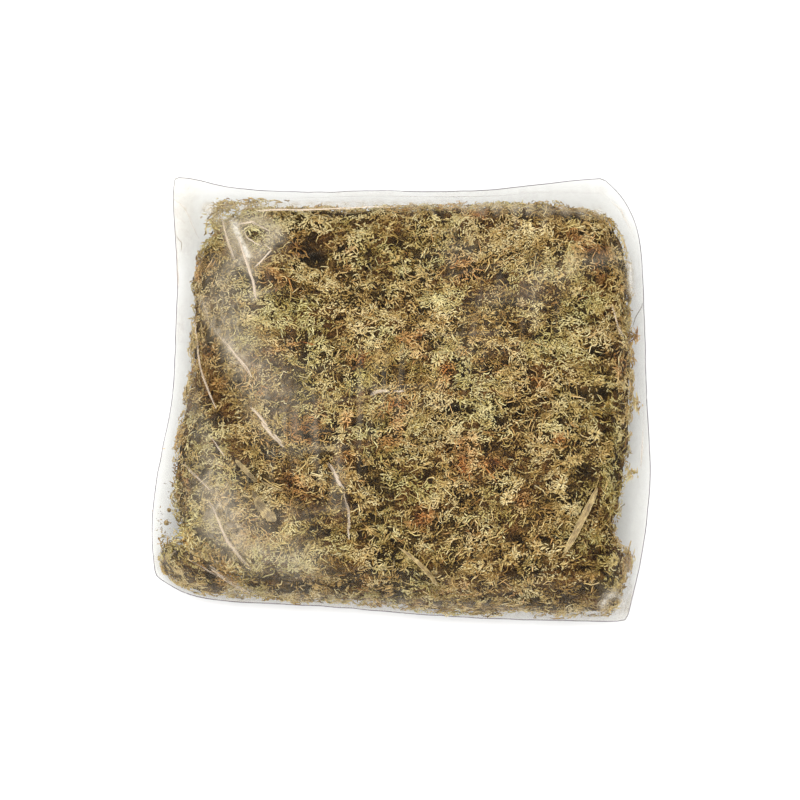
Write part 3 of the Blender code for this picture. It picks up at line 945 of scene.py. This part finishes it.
def make_sprays(name, ground, count, rng, bends=2, size=1.0):
    """Feathery sprays: barbs leave a stem on both sides, as on a moss shoot."""
    marks = ground.marks
    paths = ground.keep_inside(grow_barbs(*lay_stems(ground, count, rng, size), rng, bends, size))
    widths = random_sizes(rng, BARB_WIDTH, len(paths))
    spray_marks = strand_marks(marks, paths[:, 0], rng, shoot=BARBS)
    hollow = np.maximum(marks.gap(paths[:, 2]), marks.pit(paths[:, 2]))
    kept = rng.random(len(paths)) > HOLLOW_CLEARED * hollow
    return strand_mesh(name, paths[kept], widths[kept], spray_marks[kept])


# Crowns
CROWNS = 110
CROWN_BARBS = 26
CROWN_REACH = (2.8, 5.2)
CROWN_WIDTH = (0.65, 1.05)
CROWN_RISE = (0.05, 0.9)
CROWN_LIFT = 1.4 * MM
CROWN_CORE = 0.5 * MM
CROWN_LIGHTER = 0.08
CROWN_SWIRL = 0.2
# Places along a crown's barb, and how far it has drooped there
CROWN_DROOP = ((0.36, 0.0), (0.72, 0.12), (1.0, 0.38))


def make_crowns(name, ground, count, rng):
    """Crowns: curved barbs that fan out from one point, as at a shoot's tip."""
    centres, normals, heading, across = ground.roots(count, rng)
    shape = (count, CROWN_BARBS, 1)
    turn = between(rng, 0, 2 * math.pi, shape)
    rise = between(rng, *CROWN_RISE, shape)
    out = np.cos(turn) * heading[:, None] + np.sin(turn) * across[:, None]
    way = np.cos(rise) * out + np.sin(rise) * normals[:, None]
    reach = random_sizes(rng, CROWN_REACH, shape)
    root = centres[:, None] + normals[:, None] * CROWN_LIFT + out * CROWN_CORE
    swirl = np.cross(normals[:, None], out) * rng.normal(0, CROWN_SWIRL, shape)
    steps = [root]
    for share, fall in CROWN_DROOP:
        point = root + (way + swirl * share) * reach * share - normals[:, None] * reach * fall
        steps.append(point)
    paths = ground.keep_inside(np.stack(steps, 2).reshape(-1, len(steps), 3))
    widths = random_sizes(rng, CROWN_WIDTH, len(paths))
    crown_marks = strand_marks(ground.marks, paths[:, 0], rng, CROWN_LIGHTER, CROWN_BARBS)
    return strand_mesh(name, paths, widths, crown_marks)


# Curls
CURLS = 3000
TUFT_CURLS = 160
CURL_POINTS = 8
CURL_LENGTH = (4.5, 12)
CURL_WIDTH = (0.5, 0.9)
CURL_STRAY = (-0.8, 0.8)
# How far a curl turns in all, how much it wanders, and how it rises and falls
CURL_TURN = 2.0
CURL_WANDER = 0.35
CURL_LIFT = 1.9
CURL_WAVE = 0.9
CURL_WAVE_LENGTH = 5


def make_curls(name, ground, count, rng, size=1.0):
    """Loose strands that curl over the rest."""
    starts, _, heading, across = ground.roots(count, rng)
    length = random_sizes(rng, CURL_LENGTH, (count, 1)) * size
    turn = rng.normal(0, CURL_TURN, (count, 1))
    wander = rng.normal(0, CURL_WANDER, (count, CURL_POINTS)).cumsum(1)
    angle = turn * np.linspace(0, 1, CURL_POINTS)[None] + wander
    step = length / (CURL_POINTS - 1)
    x = np.cumsum(np.cos(angle) * step, 1)[..., None]
    y = np.cumsum(np.sin(angle) * step, 1)[..., None]
    paths = starts[:, None] + heading[:, None] * x + across[:, None] * y
    wave = between(rng, 0, 2 * math.pi, (count, 1))
    wave = wave + np.linspace(0, CURL_WAVE_LENGTH, CURL_POINTS)[None]
    lift = (CURL_LIFT + CURL_WAVE * np.sin(wave)) * MM * size
    paths = ground.lay(paths, lift + random_sizes(rng, CURL_STRAY, (count, 1)))[0]
    widths = random_sizes(rng, CURL_WIDTH, count)
    return strand_mesh(name, ground.keep_inside(paths), widths, strand_marks(ground.marks, starts, rng))


# Sticks
STICKS = 700
STICK_LENGTH = (5, 14)
STICK_LIFT = 1.7 * MM
STICK_LIGHTER = 0.05
STICK_RUST = 0.35
STICK_SPREAD = 0.25
STICK_POINTS = 4


def make_sticks(name, ground, count, rng):
    """Short straight bits of old stem."""
    starts, _, heading, _ = ground.roots(count, rng)
    heading = unit(heading + rng.normal(0, STICK_SPREAD, (count, 3)))
    length = random_sizes(rng, STICK_LENGTH, (count, 1, 1))
    share = np.linspace(0, 1, STICK_POINTS)[None, :, None]
    paths = starts[:, None] + heading[:, None] * length * share
    paths = ground.lay(paths, np.full(paths.shape[:2], STICK_LIFT))[0]
    widths = random_sizes(rng, BARB_WIDTH, count)
    stick_marks = strand_marks(ground.marks, starts, rng, STICK_LIGHTER)
    stick_marks[:, 1] = np.clip(stick_marks[:, 1] + STICK_RUST, 0, 1)
    return strand_mesh(name, ground.keep_inside(paths), widths, stick_marks)


# Dry grass and other litter: ribs, height of the ribs, fold of the blade, and roughness
# of its edge

LITTER = {
    "grass_blade_right": (5, 0.10 * MM, 0.35 * MM, 0.02),
    "grass_blade_left": (4, 0.10 * MM, 0.9 * MM, 0.04),
    "grass_stalk_front": (3, 0.08 * MM, -0.4 * MM, 0.03),
    "twig_left": (2, 0.06 * MM, -0.3 * MM, 0.07),
    "dead_leaf": (3, 0.14 * MM, 0.9 * MM, 0.05),
}
LITTER_SECTIONS = 48
LITTER_COLUMNS = 13
LITTER_THICKNESS = 0.35 * MM
LITTER_WIDTH = 0.8
LITTER_MARGIN = 0.5 * MM
# Loose straws, as they lie in the photograph: width in millimetres, tone, pixel places
STRAWS = [
    (1.1, 0.75, ((310, 460), (304, 467), (296, 474))),
    (1.5, 0.55, ((413, 466), (420, 468), (428, 469))),
    (0.9, 0.95, ((427, 479), (433, 478), (438, 483))),
    (1.0, 0.70, ((262, 478), (272, 485), (284, 490))),
    (0.9, 0.65, ((480, 545), (488, 540), (500, 536))),
    (0.8, 0.80, ((353, 236), (362, 233), (372, 236))),
    (1.0, 0.60, ((566, 330), (575, 338), (580, 349))),
    (0.9, 0.70, ((515, 470), (524, 474), (536, 472))),
]
STRAW_POINTS = 10
THREADS = [
    (0.5, 0.10, ((645, 300), (641, 309), (636, 317), (633, 327))),
    (0.4, 0.15, ((176, 236), (181, 243), (180, 252))),
]
STRAW_LIFT = 2.2 * MM
THREAD_DROP = 1.0 * MM


def spine_of(node, shares):
    """The middle line of a long thin node, its half width, and its sideways direction."""
    points = mesh_arrays(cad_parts[node])[0]
    middle = points.mean(0)
    way = np.linalg.svd(points - middle, full_matrices=False)[2][0]
    side = unit(np.cross(way, (0, 0, 1)))
    along = (points - middle) @ way
    places = (along - along.min()) / np.ptp(along)
    knots = np.linspace(0.06, 0.94, 8)
    near = [points[np.abs(places - knot) < 0.09] for knot in knots]
    rows = np.array([[*group.mean(0), np.ptp(group @ side) / 2] for group in near])
    smooth = np.stack([np.polyval(np.polyfit(knots, column, 2), shares) for column in rows.T], 1)
    return smooth[:, :3], smooth[:, 3], side


def loft(name, rings):
    """A closed mesh through rings of points."""
    bm = bmesh.new()
    verts = [[bm.verts.new(point) for point in ring] for ring in rings]
    for here, there in zip(verts, verts[1:]):
        for index, vert in enumerate(here):
            bm.faces.new((vert, here[index - 1], there[index - 1], there[index]))
    bm.faces.new(verts[0])
    bm.faces.new(verts[-1][::-1])
    bmesh.ops.recalc_face_normals(bm, faces=bm.faces)
    return new_object(name, bm)


def make_blade(node, room, rng):
    """A ribbed, folded blade along the node's own line."""
    ribs, rib_height, fold, ragged = LITTER[node]
    share = np.linspace(0, 1, LITTER_SECTIONS)
    line, half, side = spine_of(node, share)
    half = LITTER_WIDTH * half * np.clip(1 - np.abs(2 * share - 1) ** 8, 0.12, 1)
    across = np.linspace(-1, 1, LITTER_COLUMNS)
    edge = rng.normal(0, 1, (LITTER_SECTIONS, 2))
    edge = 1 + ragged * (np.roll(edge, 1, 0) + edge + np.roll(edge, -1, 0))
    widths = np.where(across < 0, edge[:, :1], edge[:, 1:]) * half[:, None]
    lift = fold * np.abs(across) + rib_height * np.cos(across * math.pi * ribs)
    thick = LITTER_THICKNESS * (1 - 0.6 * np.abs(across) ** 3)
    rings = []
    for way in (1, -1):
        points = line[:, None] + side * (across * widths)[..., None]
        points[..., 2] += lift + way * thick
        rings.append(points[:, ::way])
    blade = loft(node + "_look", room.keep_inside(np.concatenate(rings, 1), LITTER_MARGIN))
    grain = np.empty((LITTER_SECTIONS, 2 * LITTER_COLUMNS, 3))
    grain[..., 0] = share[:, None] * 6
    grain[..., 1] = np.concatenate([across, across[::-1]])
    grain[..., 2] = rng.random()
    mark_points(blade, "grain", grain)
    return blade


def make_straws(name, rows, tree, room, lift):
    """Loose straws or threads that lie where they do in the photograph."""
    paths = np.array([photo_path(tree, row[2], STRAW_POINTS) for row in rows])
    paths[..., 2] += lift
    paths = room.keep_inside(paths, FILM_MARGIN)
    widths = np.array([row[0] for row in rows]) * MM
    marks = np.array([(row[1], 0.05, 0) for row in rows])
    return strand_mesh(name, paths, widths, marks)


# Crumbs, specks and loose strands

CRUMBS = ("moss_crumb_back", "moss_crumb_middle", "moss_crumb_front")
CRUMB_STRANDS = 46
CRUMB_POINTS = 5
CRUMB_WIDTH = (0.5, 0.8)
CRUMB_CORE = 0.55
CRUMB_WANDER = 0.9
CRUMB_WINDING = 0.6
SPECKS = 90
SPECK_WIDTH = (0.25, 0.7)
SPECK_LIFT = 0.5 * MM
SPECK_LEAST = 0.35 * MM
SPECK_REACH = 0.8 * MM
SPECK_GREATEST = 4 * MM
# Places of specks in the photograph: groups in the corner, and some strays along the side
SPECK_GROUPS = 12
SPECK_CORNER = ((158, 505), (172, 566))
SPECK_SCATTER = 3.5
SPECK_STRIP = ((162, 440), (184, 505))
SPECK_STRAYS = 0.12
SPECK_WANDER = 0.14
SPECK_DARKER = -0.2
SPECK_POINTS = 4
SPECK_HEIGHT = 14 * MM
# Loose strands: pixel x and y, reach in x and y, how many, and how far up towards the
# upper film the lowest of them are
LOOSE = [
    (168, 545, 10, 5, 110, 0.6), (186, 532, 8, 9, 120, 0.4), (191, 544, 8, 6, 170, 0.35),
    (206, 552, 13, 8, 200, 0.35), (226, 568, 10, 8, 220, 0.35), (240, 584, 12, 8, 190, 0.35),
    (236, 600, 16, 4, 110, 0.35), (192, 508, 7, 12, 30, 0.7), (164, 568, 6, 6, 60, 0.6),
    (185, 584, 12, 5, 80, 0.35), (209, 594, 12, 4, 80, 0.35), (270, 601, 26, 3, 110, 0.5),
    (630, 560, 4, 8, 80, 0.7), (636, 336, 3, 3, 60, 0.75), (637, 404, 4, 3, 60, 0.75),
    (632, 474, 4, 2, 30, 0.75), (231, 594, 9, 5, 120, 0.35), (226, 208, 11, 5, 200, 0.78),
    (214, 222, 6, 9, 140, 0.78), (252, 202, 22, 3, 110, 0.7),
]
LOOSE_HIGHEST = 0.96
LOOSE_SCATTER = 0.6
LOOSE_WIDTH = (0.55, 1.05)
LOOSE_STEP = (0.35, 0.9)
LOOSE_WANDER = 0.5
LOOSE_HEIGHT = 24 * MM
CRACK_DEPTH = 3.5 * MM


def make_crumb(node, marks, rng):
    """A crumb of moss: short strands wound into a ball of the node's size."""
    points = mesh_arrays(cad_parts[node])[0]
    middle, reach = points.mean(0), np.ptp(points, axis=0).mean() / 2
    shape = (CRUMB_STRANDS, CRUMB_POINTS)
    turns = np.cumsum(rng.normal(0, CRUMB_WANDER, (*shape, 3)), 1)
    start = unit(rng.normal(0, 1, (CRUMB_STRANDS, 1, 3)))
    way = unit(start + CRUMB_WINDING * turns)
    paths = middle + way * reach * between(rng, CRUMB_CORE, 1.0, (*shape, 1))
    crumb_marks = strand_marks(marks, paths[:, 0], rng)
    return strand_mesh(node + "_look", paths, random_sizes(rng, CRUMB_WIDTH, CRUMB_STRANDS), crumb_marks)


def make_specks(room, marks, rng):
    """Specks and short bits of moss that lie loose on the lower layer of film."""
    middles = between(rng, *SPECK_CORNER, (SPECK_GROUPS, 2))
    places = middles[rng.integers(0, SPECK_GROUPS, SPECKS)]
    places = places + rng.normal(0, SPECK_SCATTER, (SPECKS, 2))
    spread = rng.random(SPECKS) < SPECK_STRAYS
    places[spread] = between(rng, *SPECK_STRIP, (spread.sum(), 2))
    starts = np.array([eye_point(px, py, SPECK_HEIGHT) for px, py in places])
    reach = SPECK_LEAST + rng.exponential(SPECK_REACH, (SPECKS, 1))
    way = unit(rng.normal(0, 1, (SPECKS, 3)) * (1, 1, 0.1)) * np.minimum(reach, SPECK_GREATEST)
    paths = starts[:, None] + way[:, None] * np.linspace(0, 1, SPECK_POINTS)[None, :, None]
    paths = paths + rng.normal(0, SPECK_WANDER, paths.shape) * reach[:, None]
    height = room.look_up(-1, paths.reshape(-1, 3))[0]
    paths[..., 2] = height.reshape(paths.shape[:2]) + SPECK_LIFT
    widths = random_sizes(rng, SPECK_WIDTH, SPECKS)
    speck_marks = strand_marks(marks, starts, rng, SPECK_DARKER)
    return strand_mesh("moss_specks", paths, widths, speck_marks)


def make_loose(room, marks, rng):
    """Loose strands that fill the gaps between the block, the tuft and the film."""
    paths = []
    for px, py, across, away, count, lowest in LOOSE:
        places = rng.normal(0, LOOSE_SCATTER, (count, 2)) * (across, away) + (px, py)
        share = between(rng, lowest, LOOSE_HIGHEST, count)
        height = np.full(count, LOOSE_HEIGHT)
        for _ in range(3):
            starts = np.array([eye_point(x, y, z) for (x, y), z in zip(places, height)])
            roof, base = room.look_up(1, starts)[0], room.look_up(-1, starts)[0]
            height = base + (roof - base) * share
        starts[:, 2] = height
        way = rng.normal(0, 1, (count, 1, 3))
        way = unit(way + rng.normal(0, LOOSE_WANDER, (count, CURL_POINTS, 3)).cumsum(1))
        step = random_sizes(rng, LOOSE_STEP, (count, 1, 1))
        path = starts[:, None] + (way * (1, 1, 0.3) * step).cumsum(1)
        paths.append(path[room.holds(path)])
    paths = room.keep_inside(np.concatenate(paths), FILM_MARGIN)
    middles = paths[:, CURL_POINTS // 2]
    on_top = room.look_up(1, middles)[0] - middles[:, 2] < CRACK_DEPTH
    hollow = np.maximum(marks.gap(middles), marks.pit(middles)) * on_top
    paths = paths[room.holds(paths) & (rng.random(len(paths)) > HOLLOW_CLEARED * hollow)]
    widths = random_sizes(rng, LOOSE_WIDTH, len(paths))
    return strand_mesh("moss_loose", paths, widths, strand_marks(marks, paths[:, 0], rng))


# Materials


class Nodes:
    """A new material with short ways to add nodes to it."""

    def __init__(self, name):
        self.material = bpy.data.materials.new(name)
        self.material.use_nodes = True
        self.tree = self.material.node_tree
        self.tree.nodes.clear()
        self.output = self.add("ShaderNodeOutputMaterial")

    def add(self, kind, **values):
        node = self.tree.nodes.new(kind)
        for key, value in values.items():
            setattr(node, key, value)
        return node

    def link(self, source, target):
        self.tree.links.new(source, target)

    def attribute(self, name):
        return self.add("ShaderNodeAttribute", attribute_name=name)

    def ramp(self, value, colours, places=None):
        node = self.add("ShaderNodeValToRGB")
        places = places or np.linspace(0, 1, len(colours))
        while len(node.color_ramp.elements) < len(colours):
            node.color_ramp.elements.new(0.5)
        for element, place, colour in zip(node.color_ramp.elements, places, colours):
            element.position = place
            element.color = linear(colour)
        self.link(value, node.inputs["Fac"])
        return node.outputs["Color"]

    def mix(self, share, first, second, blend="MIX"):
        node = self.add("ShaderNodeMix", data_type="RGBA", blend_type=blend)
        self.plug(share, node.inputs["Factor"])
        self.plug(first, node.inputs["A"])
        self.plug(second, node.inputs["B"])
        return node.outputs["Result"]

    def plug(self, value, socket):
        if isinstance(value, bpy.types.NodeSocket):
            self.link(value, socket)
        else:
            socket.default_value = value

    def maths(self, operation, first, second=0.0, clamp=False):
        node = self.add("ShaderNodeMath", operation=operation, use_clamp=clamp)
        self.plug(first, node.inputs[0])
        self.plug(second, node.inputs[1])
        return node.outputs["Value"]

    def noise(self, scale, detail=3.0, roughness=0.55, distortion=0.0, vector=None):
        node = self.add("ShaderNodeTexNoise")
        values = {"Scale": scale, "Detail": detail, "Roughness": roughness, "Distortion": distortion}
        for key, value in values.items():
            node.inputs[key].default_value = value
        if vector is None:
            vector = self.add("ShaderNodeTexCoord").outputs["Object"]
        self.link(vector, node.inputs["Vector"])
        return node.outputs["Fac"]

    def stretched(self, scale):
        """Object coordinates stretched by a factor along each axis."""
        node = self.add("ShaderNodeMapping")
        node.inputs["Scale"].default_value = scale
        self.link(self.add("ShaderNodeTexCoord").outputs["Object"], node.inputs["Vector"])
        return node.outputs["Vector"]

    def parts(self, name):
        """The three values of a vector that the vertices carry."""
        node = self.add("ShaderNodeSeparateXYZ")
        self.link(self.attribute(name).outputs["Vector"], node.inputs["Vector"])
        return node.outputs

    def shader(self, colour, roughness, specular=0.5, metallic=0.0, normal=None):
        node = self.add("ShaderNodeBsdfPrincipled")
        self.plug(colour, node.inputs["Base Color"])
        node.inputs["Roughness"].default_value = roughness
        node.inputs["Specular IOR Level"].default_value = specular
        node.inputs["Metallic"].default_value = metallic
        if normal is not None:
            self.link(normal, node.inputs["Normal"])
        return node

    def finish(self, shader):
        """The material, with this shader as its surface."""
        self.link(shader.outputs[0], self.output.inputs["Surface"])
        return self.material

    def layer(self, share, under, over):
        """One shader over another, as strongly as the share says."""
        node = self.add("ShaderNodeMixShader")
        self.link(share, node.inputs["Fac"])
        self.link(under.outputs[0], node.inputs[1])
        self.link(over.outputs[0], node.inputs[2])
        return node

    def bump(self, height, strength, distance):
        node = self.add("ShaderNodeBump")
        node.inputs["Strength"].default_value = strength
        node.inputs["Distance"].default_value = distance
        self.link(height, node.inputs["Height"])
        return node.outputs["Normal"]


def strand_material():
    """Dry moss: straw, olive or rust by what each strand carries."""
    n = Nodes("moss_strands")
    marks = n.parts("strand")
    fine = n.maths("SUBTRACT", n.noise(900, detail=2), 0.5)
    tone = n.maths("ADD", marks["X"], n.maths("MULTIPLY", fine, 0.22))
    colour = n.mix(marks["Z"], n.ramp(tone, STRAW), n.ramp(tone, OLIVE))
    colour = n.mix(marks["Y"], colour, n.ramp(tone, RUST))
    relief = n.bump(n.noise(2600, detail=1), 0.3, 0.15 * MM)
    return n.finish(n.shader(colour, 0.8, specular=0.25, normal=relief))


def dry_material():
    """Dry grass: fine streaks along it, with paler edges."""
    n = Nodes("dry_grass")
    grain = n.add("ShaderNodeMapping")
    grain.inputs["Scale"].default_value = (0.8, 5.0, 7.0)
    n.link(n.attribute("grain").outputs["Vector"], grain.inputs["Vector"])
    streaks = n.noise(1.6, detail=4, roughness=0.6, vector=grain.outputs["Vector"])
    edge = n.maths("POWER", n.maths("ABSOLUTE", n.parts("grain")["Y"]), 6.0)
    tone = n.maths("ADD", streaks, n.maths("MULTIPLY", edge, 0.2))
    blotch = n.maths("MULTIPLY", n.maths("SUBTRACT", n.noise(260, detail=2), 0.5), 0.5)
    colour = n.ramp(n.maths("ADD", tone, blotch), DRY, (0.34, 0.46, 0.58, 0.72))
    return n.finish(n.shader(colour, 0.6, normal=n.bump(streaks, 0.5, 0.2 * MM)))


def bed_material():
    """Tangled strands too deep to be separate: dark brown with painted shade, with straw threads."""
    n = Nodes("moss_bed")
    lines = []
    for scale, stretch in ((330, (0.6, 1.4, 1)), (460, (1.2, 0.7, 1))):
        field = n.noise(scale, detail=2, roughness=0.5, distortion=2.6, vector=n.stretched(stretch))
        gap = n.maths("ABSOLUTE", n.maths("SUBTRACT", field, 0.5))
        lines.append(n.maths("SUBTRACT", 1.0, n.maths("MULTIPLY", gap, 11.0), clamp=True))
    threads = n.maths("MAXIMUM", *lines)
    patch = n.noise(90, detail=3)
    tone = n.maths("ADD", n.maths("MULTIPLY", threads, 0.55), n.maths("MULTIPLY", patch, 0.5))
    colour = n.ramp(tone, BED_BROWN_AND_SHADE, (0.20, 0.36, 0.56, 0.80))
    rusty = n.ramp(n.noise(45, detail=2), ((0, 0, 0), (255, 255, 255)), (0.45, 0.62))
    colour = n.mix(n.maths("MULTIPLY", rusty, 0.5), colour, n.ramp(tone, RUST, (0.3, 0.5, 0.7, 0.9)))
    # Painted shade: pits and gaps turn almost black
    hollow = n.maths("MULTIPLY", n.attribute("pit_shade").outputs["Fac"], 0.9)
    colour = n.mix(hollow, colour, linear((10, 6, 2)))
    relief = n.bump(threads, 1.0, 1.2 * MM)
    return n.finish(n.shader(colour, 0.95, specular=0.1, normal=relief))


def film_material():
    """Clear film: see-through, glossier at a glancing angle, hazy where it stands off, and white with
    painted glare where it is marked milkiest.
    """
    n = Nodes("clear_film")
    clear = n.add("ShaderNodeBsdfTransparent")
    clear.inputs["Color"].default_value = (*FILM_TINT, 1)
    wrinkles = n.bump(n.noise(120, detail=3, roughness=0.6, distortion=1.0), 0.35, 1.0 * MM)
    gloss = n.shader(linear(GLOSS), 0.12, metallic=1.0, normal=wrinkles)
    facing = n.add("ShaderNodeLayerWeight")
    facing.inputs["Blend"].default_value = 0.5
    glancing = n.maths("POWER", facing.outputs["Facing"], 6.0)
    shine = n.maths("ADD", n.maths("MULTIPLY", glancing, 0.07), 0.0005, clamp=True)
    shiny = n.layer(shine, clear, gloss)
    # The haze mark: milky film, and painted glare where it is strong
    thick = n.attribute("haze_and_glare").outputs["Fac"]
    # Painted reflection: a strong mark turns the milk to the white glare colour
    milk_and_glare = n.shader(n.ramp(thick, (MILKY, GLARE), (0.25, 0.5)), 0.5)
    dust = n.noise(430, detail=3, roughness=0.7, distortion=1.2, vector=n.stretched((1.0, 0.6, 1)))
    folds = n.noise(90, detail=3, roughness=0.6, distortion=1.5)
    patchy = n.maths("POWER", n.maths("ADD", dust, folds), 2.5)
    haze_and_glare = n.maths("MULTIPLY", thick, patchy)
    return n.finish(n.layer(n.maths("MINIMUM", haze_and_glare, 0.9), shiny, milk_and_glare))


def line_material(name, colour, softness):
    """A line on the film, as strong as each line's mark says, and softer at its sides."""
    n = Nodes(name)
    line = n.shader(linear(colour), 0.35)
    clear = n.add("ShaderNodeBsdfTransparent")
    broken = n.maths("MULTIPLY", n.noise(160, detail=3), 2.0, clamp=True)
    edge = n.add("ShaderNodeLayerWeight")
    edge.inputs["Blend"].default_value = 0.5
    inner = n.maths("POWER", n.maths("SUBTRACT", 1.0, edge.outputs["Facing"]), softness)
    strength = n.maths("MULTIPLY", n.maths("MULTIPLY", n.parts("strand")["X"], broken), inner)
    return n.finish(n.layer(strength, clear, line))


def add_haze_and_glare(bag, bag_tree):
    """Marks where the film looks milky: on its walls, and in worn places. The strongest marks also paint
    white glare.
    """
    points, normals = mesh_arrays(bag)[0], normals_of(bag)
    haze_and_glare = BASE_HAZE + WALL_HAZE * np.clip((0.88 - np.abs(normals[:, 2])) / 0.4, 0, 1)
    for reach, strength, places in HAZE_AND_GLARE:
        line = photo_path(bag_tree, places, HAZE_POINTS)
        patch = [(point, (reach * MM, reach * MM)) for point in line]
        haze_and_glare += strength * feature_share(points, patch)
    mark_points(bag, "haze_and_glare", haze_and_glare)


# The stage

FLOOR_COLOUR = (0.585, 0.585, 0.585, 1)
FLOOR_DROP = 0.3 * MM
# Each light's place and side in metres, and its power in watts
LIGHTS = {
    "key": ((-0.35, 0.35, 2.0), 1.8, 58),
    "fill": ((0.3, -0.6, 1.8), 1.8, 25),
    "front": ((-0.1, -1.4, 1.4), 1.5, 28),
}
WORLD_LIGHT = 0.85
CLEAR_LAYERS = 24
SEED = 7


def make_floor():
    bm = bmesh.new()
    bmesh.ops.create_grid(bm, x_segments=1, y_segments=1, size=4)
    floor = new_object("floor", bm)
    floor.location.z = -FLOOR_DROP
    n = Nodes("pale_floor")
    floor.data.materials.append(n.finish(n.shader(FLOOR_COLOUR, 0.9, specular=0.1)))


def make_light(name, place, size, power):
    data = bpy.data.lights.new(name, "AREA")
    data.shape = "SQUARE"
    data.size = size
    data.energy = power
    light = bpy.data.objects.new(name, data)
    bpy.context.scene.collection.objects.link(light)
    light.location = place
    light.rotation_euler = (Vector((0, 0, 0)) - light.location).to_track_quat("-Z", "Y").to_euler()


def light_scene():
    for name, (place, size, power) in LIGHTS.items():
        make_light(name, place, size, power)
    world = bpy.data.worlds.new("studio")
    world.use_nodes = True
    background = world.node_tree.nodes["Background"]
    background.inputs["Color"].default_value = (1, 1, 1, 1)
    background.inputs["Strength"].default_value = WORLD_LIGHT
    bpy.context.scene.world = world
    bpy.context.scene.view_settings.view_transform = "Standard"
    bpy.context.scene.cycles.transparent_max_bounces = CLEAR_LAYERS


def dress(piece, slot, material, *nodes):
    """Gives a piece its material and its body, and hides the nodes it replaces. Its slot is not used."""
    piece.data.materials.clear()
    piece.data.materials.append(material)
    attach(piece, "root")
    if nodes:
        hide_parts(*nodes)


def dress_bag(bag, bag_tree, rng):
    add_haze_and_glare(bag, bag_tree)
    dress(bag, "clear_film", film_material(), "bag")
    crease_look = line_material("film_crease_glint", CREASE_GLINT_COLOUR, 1.0)
    dress(make_creases(bag_tree, rng), "clear_film", crease_look)
    dress(make_rim(bag), "clear_film", line_material("film_edge", RIM_COLOUR, 0.0))


def dress_block(ground, look, rng):
    for part, count, bends in (
        ("a", SPRAYS // 2, 2),
        ("b", SPRAYS // 2, 2),
        ("c", FINE_SPRAYS // 2, 1),
        ("d", FINE_SPRAYS // 2, 1),
    ):
        dress(make_sprays(f"moss_sprays_{part}", ground, count, rng, bends), "moss", look)
    dress(make_crowns("moss_crowns", ground, CROWNS, rng), "moss", look)
    dress(make_curls("moss_curls", ground, CURLS, rng), "moss", look)
    dress(make_sticks("moss_sticks", ground, STICKS, rng), "moss", look)


def dress_tuft(ground, look, rng):
    sprays = make_sprays("moss_corner_sprays", ground, TUFT_SPRAYS, rng, 1, TUFT_SIZE)
    dress(sprays, "loose_moss", look)
    dress(make_curls("moss_corner_curls", ground, TUFT_CURLS, rng, TUFT_SIZE), "loose_moss", look)


def main():
    rng = np.random.default_rng(SEED)
    make_camera()
    bag = make_bag()
    room = Room(bag)
    block = make_bed("moss_bed", "moss_block")
    tuft = make_bed("moss_corner_bed", "moss_tuft_corner")
    marks = Marks(tree_of(block, tuft))
    roughen_bed(block, marks)
    roughen_bed(tuft, marks)
    bag_tree = tree_of(bag)
    dress_bag(bag, bag_tree, rng)
    bed_look, strand_look, dry_look = bed_material(), strand_material(), dry_material()
    dress(block, "moss", bed_look, "moss_block")
    dress(tuft, "loose_moss", bed_look, "moss_tuft_corner")
    ground = Ground(block, room, marks)
    dress_block(ground, strand_look, rng)
    dress_tuft(Ground(tuft, room, marks), strand_look, rng)
    for node in CRUMBS:
        dress(make_crumb(node, marks, rng), "loose_moss", strand_look, node)
    dress(make_specks(room, marks, rng), "loose_moss", strand_look)
    dress(make_loose(room, marks, rng), "loose_moss", strand_look)
    for node in LITTER:
        dress(make_blade(node, room, rng), "dry_grass", dry_look, node)
    straws = make_straws("straws", STRAWS, ground.tree, room, STRAW_LIFT)
    dress(straws, "dry_grass", strand_look)
    threads = make_straws("threads", THREADS, bag_tree, room, -THREAD_DROP)
    dress(threads, "loose_moss", strand_look)
    make_floor()
    light_scene()


main()
